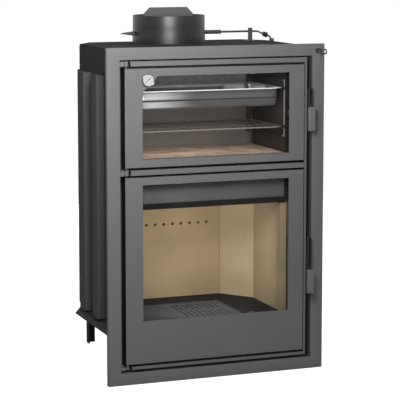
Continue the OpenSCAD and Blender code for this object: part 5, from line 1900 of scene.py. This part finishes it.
@dataclass
class Flue:
    """Flue collar with its damper, cranked axle and pull rod."""

    wall: float = 0.003
    step: float = 0.0015
    spigot: float = 0.085
    taper: float = 0.045
    weld: float = 0.0022
    weld_out: float = 0.0008
    weld_swell: float = 0.15
    weld_waves: int = 90
    post_edge: float = 0.0008
    plate_edge: float = 0.0008
    nut_edge: float = 0.0005
    clamp_edge: float = 0.0006
    sleeve_bore: float = 0.00355
    sleeve_edge: float = 0.0008
    crank_rest: float = 42.0
    crank_r: float = 0.050
    crank_from: float = 0.288
    crank_end: tuple[float, float] = (0.348, 0.0295)
    pin_from: float = 0.352
    bend: float = 0.009
    axle_r: float = 0.0035
    crank_bar_r: float = 0.003
    swage: tuple[float, float] = (0.276, 0.292)
    tip: float = 0.001
    tip_r: tuple[float, float] = (0.0028, 0.0023)
    loop_r: float = 0.0025
    loop_l: float = 0.059
    loop_w: float = 0.019
    rod_r: float = 0.0035
    bush_half: float = 0.0085
    yoke_t: float = 0.003
    yoke_back: float = 0.009
    yoke_front: float = 0.014
    yoke_lap: float = 0.008
    yoke_r: float = 0.002
    yoke_edge: float = 0.0004
    slot_half: float = 0.005
    slot_r: float = 0.0012

    def build(self) -> list[bpy.types.Object]:
        """Build and dress every piece."""
        return [self.collar(), self.collar_weld(), self.sleeve(),
                eased_copy("axle_post", ROD_PAINT, Body.CASING, self.post_edge),
                eased_copy("damper_plate", DAMPER_PAINT, Body.DAMPER, self.plate_edge),
                self.axle(),
                eased_copy("axle_end_nut", ROD_PAINT, Body.DAMPER, self.nut_edge),
                eased_copy("crank_clamp", LEVER_PAINT, Body.DAMPER, self.clamp_edge),
                self.pull_rod()]

    def foot(self) -> tuple[Array, float, float]:
        """Middle of the collar's foot, its radius and its height."""
        low, high = span("flue_collar")
        return (np.append(middle("flue_collar")[:2], low[2]), (high[0] - low[0]) / 2,
                high[2] - low[2])

    def collar(self) -> bpy.types.Object:
        """Collar that narrows smoothly to its spigot, with a rounded rim.

        Returns:
            The piece, a closed profile turned about Z.
        """
        centre, r, h = self.foot()
        inner, upper, shoulder = r - self.wall, r - self.step, h - self.spigot
        lip = (upper - inner) / 2
        rim = [(inner + lip + lip * math.cos(t), h - lip + lip * math.sin(t))
               for t in np.linspace(0, np.pi, 7)]
        taper = [(r - self.step * (1 - math.cos(t)) / 2, shoulder + self.taper * t / np.pi)
                 for t in np.linspace(0, np.pi, 9)]
        wall = turned([(inner, 0), (r, 0), *taper, *rim], centre, Axis.Z, segments=128,
                      ring=True)
        return add_piece("collar_turned", wall, COLLAR_PAINT, Body.CASING, "flue_collar")

    def collar_weld(self) -> bpy.types.Object:
        """Weld bead round the collar's foot.

        Returns:
            The piece, a ring whose radius is r (1 + 0.15 sin 90 u) at angle u.
        """
        centre, r, _ = self.foot()
        r += self.weld_out
        u = np.linspace(0, 2 * np.pi, 400, endpoint=False)
        path = centre + np.stack([r * np.cos(u), r * np.sin(u),
                                  np.full_like(u, self.weld_out)], axis=1)
        radius = self.weld * (1 + self.weld_swell * np.sin(self.weld_waves * u))
        return add_piece("collar_weld", tube(path, radius, (0, 0, 1), closed=True, sides=8),
                         TOP_SHADED_PAINT, Body.CASING, "flue_collar", stands_in=False)

    def sleeve(self) -> bpy.types.Object:
        """Bearing sleeve with chamfered ends.

        Returns:
            The piece, a closed profile turned about X.
        """
        low, high = span("axle_sleeve")
        r, bore, e = (high[1] - low[1]) / 2, self.sleeve_bore, self.sleeve_edge
        length = high[0] - low[0]
        profile = [(bore, 0), (r - e, 0), (r, e), (r, length - e), (r - e, length),
                   (bore, length)]
        start = np.append(low[:1], middle("axle_sleeve")[1:])
        pipe = turned(profile, start, Axis.X, segments=40, ring=True)
        return add_piece("sleeve_turned", pipe, ROD_PAINT, Body.CASING, "axle_sleeve")

    def axle(self) -> bpy.types.Object:
        """Damper axle and its crank as one bent bar.

        Returns:
            The piece, a path in the crank's plane that is then turned about X to
            (x, -z sin a, z cos a), a being the crank's angle behind straight down.
        """
        low, high = span("damper_axle")
        _, y, z = middle("axle_sleeve")
        a, drop = math.radians(self.crank_rest), self.crank_r
        points = np.array([[low[0], 0], [self.crank_from, 0],
                           [self.crank_end[0], -self.crank_end[1]], [self.pin_from, -drop],
                           [high[0], -drop]])
        path = bent(points, self.bend)
        radius = np.interp(path[:, 0], self.swage, [self.axle_r, self.crank_bar_r])
        bar = np.stack([path[:, 0], y - path[:, 1] * math.sin(a), z + path[:, 1] * math.cos(a)],
                       axis=1)
        tip = np.array([[self.tip, 0, 0]])
        bar = np.concatenate([bar[:1], bar[:1] + tip, bar[1:-1], bar[-1:] - tip, bar[-1:]])
        radius = np.concatenate([self.tip_r[:1], radius, self.tip_r[1:]])
        normal = (0, -math.cos(a), -math.sin(a))
        return add_piece("axle_bent", tube(bar, radius, normal, sides=24), ROD_PAINT,
                         Body.DAMPER, "damper_axle", sharp=50)

    def pull_rod(self) -> bpy.types.Object:
        """Pull rod: an oval loop, a straight rod and the slotted yoke.

        Returns:
            The piece.
        """
        low, high = span("pull_rod")
        x, z = low[0] + self.rod_r, span("rod_bush")[0][2] + self.bush_half
        r, half = self.loop_w / 2 - self.loop_r, self.slot_half
        front, rear = low[1] + self.loop_w / 2, low[1] + self.loop_l - self.loop_w / 2
        u = np.linspace(-np.pi / 2, np.pi / 2, 17)
        arc = np.stack([-r * np.cos(u), r * np.sin(u)], axis=1)
        plan = np.concatenate([arc + [front, 0], arc[::-1] * [-1, 1] + [rear, 0]])
        oval = tube(stand(plan + [0, z], x, Axis.X), self.loop_r, (1, 0, 0), closed=True,
                    sides=14)
        pin_y = high[1] - self.yoke_back
        bar = rod((x, rear + r, z), (x, pin_y - self.yoke_lap, z), self.rod_r, sides=24)
        slot = oblong(pin_y - half, low[2] + half, pin_y + half, high[2] - half)
        rim = oblong(pin_y - self.yoke_front, low[2], high[1], high[2])
        plate = band(rounded(rim, self.yoke_r), rounded(slot, self.slot_r),
                     high[0] - self.yoke_t, high[0], Axis.X, self.yoke_edge)
        return add_piece("rod_with_yoke", [oval, bar, plate], ROD_PAINT, Body.ROD, "pull_rod")


@dataclass(frozen=True)
class Lamp:
    """Soft rectangular lamp: place, aim, width, height, power and whether gloss shows it."""

    name: str
    at: tuple[float, float, float]
    towards: tuple[float, float, float]
    width: float
    height: float
    watts: float
    in_gloss: bool = False


LAMPS = (
    Lamp("key_lamp", (-0.5, -1.19, 1.4), (-0.31, -0.2, 1.07), 0.6, 0.6, 20.0, in_gloss=True),
    Lamp("front_lamp", (-0.4, -3.2, 0.7), (0.0, -0.1, 0.7), 1.0, 1.0, 10.6),
    Lamp("rear_lamp", (0.5, 3.6, 0.75), (0.0, 0.2, 0.6), 1.2, 1.2, 90.0),
    Lamp("right_lamp", (3.4, 0.5, 0.8), (0.3, 0.1, 0.6), 1.2, 1.2, 64.0),
    Lamp("firebox_lamp", (0.0, -0.165, 0.41), (0.0, 0.12, 0.40), 0.28, 0.36, 0.82),
    Lamp("oven_lamp", (0.0, -0.165, 0.90), (0.0, 0.10, 0.89), 0.48, 0.19, 0.58),
)


@dataclass
class Studio:
    """Pale floor, soft lamps, white surroundings and the camera."""

    floor_r: float = 9.0
    floor_t: float = 0.02
    floor_gap: float = 0.0005
    floor_edge: float = 0.002
    floor_tone: float = 0.6
    shown_tone: float = 0.45
    floor_glow: float = 0.965
    surround: float = 0.07
    camera_at: tuple[float, float, float] = (-1.9925, -5.3087, 1.4188)
    yaw: float = 20.774
    pitch: float = 7.22
    sensor: float = 36.0
    lens: float = 151.5
    shift_y: float = -0.1
    clip: tuple[float, float] = (0.1, 60.0)

    def build(self) -> list[bpy.types.Object]:
        """Build the floor, lamps, world and camera.

        Returns:
            The floor and the lamps.
        """
        self.world()
        self.camera()
        return [self.floor(), *(self.light(lamp) for lamp in LAMPS)]

    def floor(self) -> bpy.types.Object:
        """Round floor that shows near white to the camera and keeps the shadow.

        Returns:
            The floor.
        """
        u = np.linspace(0, 2 * np.pi, 96, endpoint=False)
        rim = np.stack([np.cos(u), np.sin(u)], axis=1) * self.floor_r
        low = CAD_BOX[0].z
        plate = slab(rim, low - self.floor_t, low - self.floor_gap, Axis.Z, self.floor_edge,
                     steps=1)
        piece = placed("floor", shell_mesh("floor", plate, sharp=30))
        made = bpy.data.materials.new("Pale floor")
        g = Graph.over(made)
        diffuse, shown = (g.add("ShaderNodeBsdfDiffuse", {"Color": (tone, tone, tone, 1)})
                          for tone in (self.floor_tone, self.shown_tone))
        glow = g.add("ShaderNodeEmission", {"Color": (1, 1, 1, 1), "Strength": self.floor_glow})
        both = g.add("ShaderNodeAddShader", {0: shown.outputs[0], 1: glow.outputs[0]})
        seen = g.add("ShaderNodeLightPath").outputs["Is Camera Ray"]
        mix = g.add("ShaderNodeMixShader", {0: seen, 1: diffuse.outputs[0],
                                            2: both.outputs[0]})
        g.add("ShaderNodeOutputMaterial", {"Surface": mix.outputs[0]})
        piece.data.materials.append(made)
        return piece

    def world(self) -> None:
        """Even surroundings that camera, gloss and glass rays see as white."""
        made = bpy.data.worlds.new("Surroundings")
        g = Graph.over(made)
        rays = g.add("ShaderNodeLightPath").outputs
        seen = g.maths("MAXIMUM", rays["Is Camera Ray"], g.maths(
            "MAXIMUM", rays["Is Glossy Ray"], rays["Is Transmission Ray"]))
        soft, white = (g.add("ShaderNodeBackground", {"Color": (1, 1, 1, 1), "Strength": s})
                       for s in (self.surround, 1.0))
        mix = g.add("ShaderNodeMixShader", {0: seen, 1: soft.outputs[0], 2: white.outputs[0]})
        g.add("ShaderNodeOutputWorld", {"Surface": mix.outputs[0]})
        bpy.context.scene.world = made

    def light(self, lamp: Lamp) -> bpy.types.Object:
        """Add one lamp, which the camera doesn't see.

        Args:
            lamp: its sizes.

        Returns:
            The lamp.
        """
        data = bpy.data.lights.new(lamp.name, "AREA")
        data.shape, data.size, data.size_y = "RECTANGLE", lamp.width, lamp.height
        data.energy = lamp.watts
        piece = placed(lamp.name, data)
        piece.location = lamp.at
        run = Vector(lamp.towards) - Vector(lamp.at)
        piece.rotation_euler = run.to_track_quat("-Z", "Y").to_euler()
        piece.visible_camera, piece.visible_glossy = False, lamp.in_gloss
        return piece

    def camera(self) -> None:
        """Camera at the photograph's place, as solved from its vanishing lines."""
        data = bpy.data.cameras.new("camera")
        data.sensor_width, data.lens, data.shift_y = self.sensor, self.lens, self.shift_y
        data.clip_start, data.clip_end = self.clip
        piece = placed("camera", data)
        piece.location = self.camera_at
        piece.rotation_euler = (math.radians(90 - self.pitch), 0, math.radians(-self.yaw))
        bpy.context.scene.camera = piece


def main() -> None:
    """Build each sub-assembly in order and report its pieces."""
    logging.basicConfig(level=logging.INFO, format="%(name)s: %(message)s")
    bpy.context.scene.view_settings.view_transform = "Standard"
    assemblies = (
        FrontFrame(), Casing(), Firebox(), Oven(),
        Door("oven", Body.OVEN_DOOR, (-0.260, 0.7385, 0.254, 1.0075), corner_cut=0.053),
        Door("firebox", Body.FIRE_DOOR, (-0.260, 0.208, 0.254, 0.6556)),
        Thermometer(), Latch("oven", Body.OVEN_LATCH), Latch("firebox", Body.FIRE_LATCH),
        Flue(), Studio())
    for assembly in assemblies:
        for piece in assembly.build():
            log.info("%s: %s", type(assembly).__name__, piece.name)


if __name__ == "__main__":
    main()
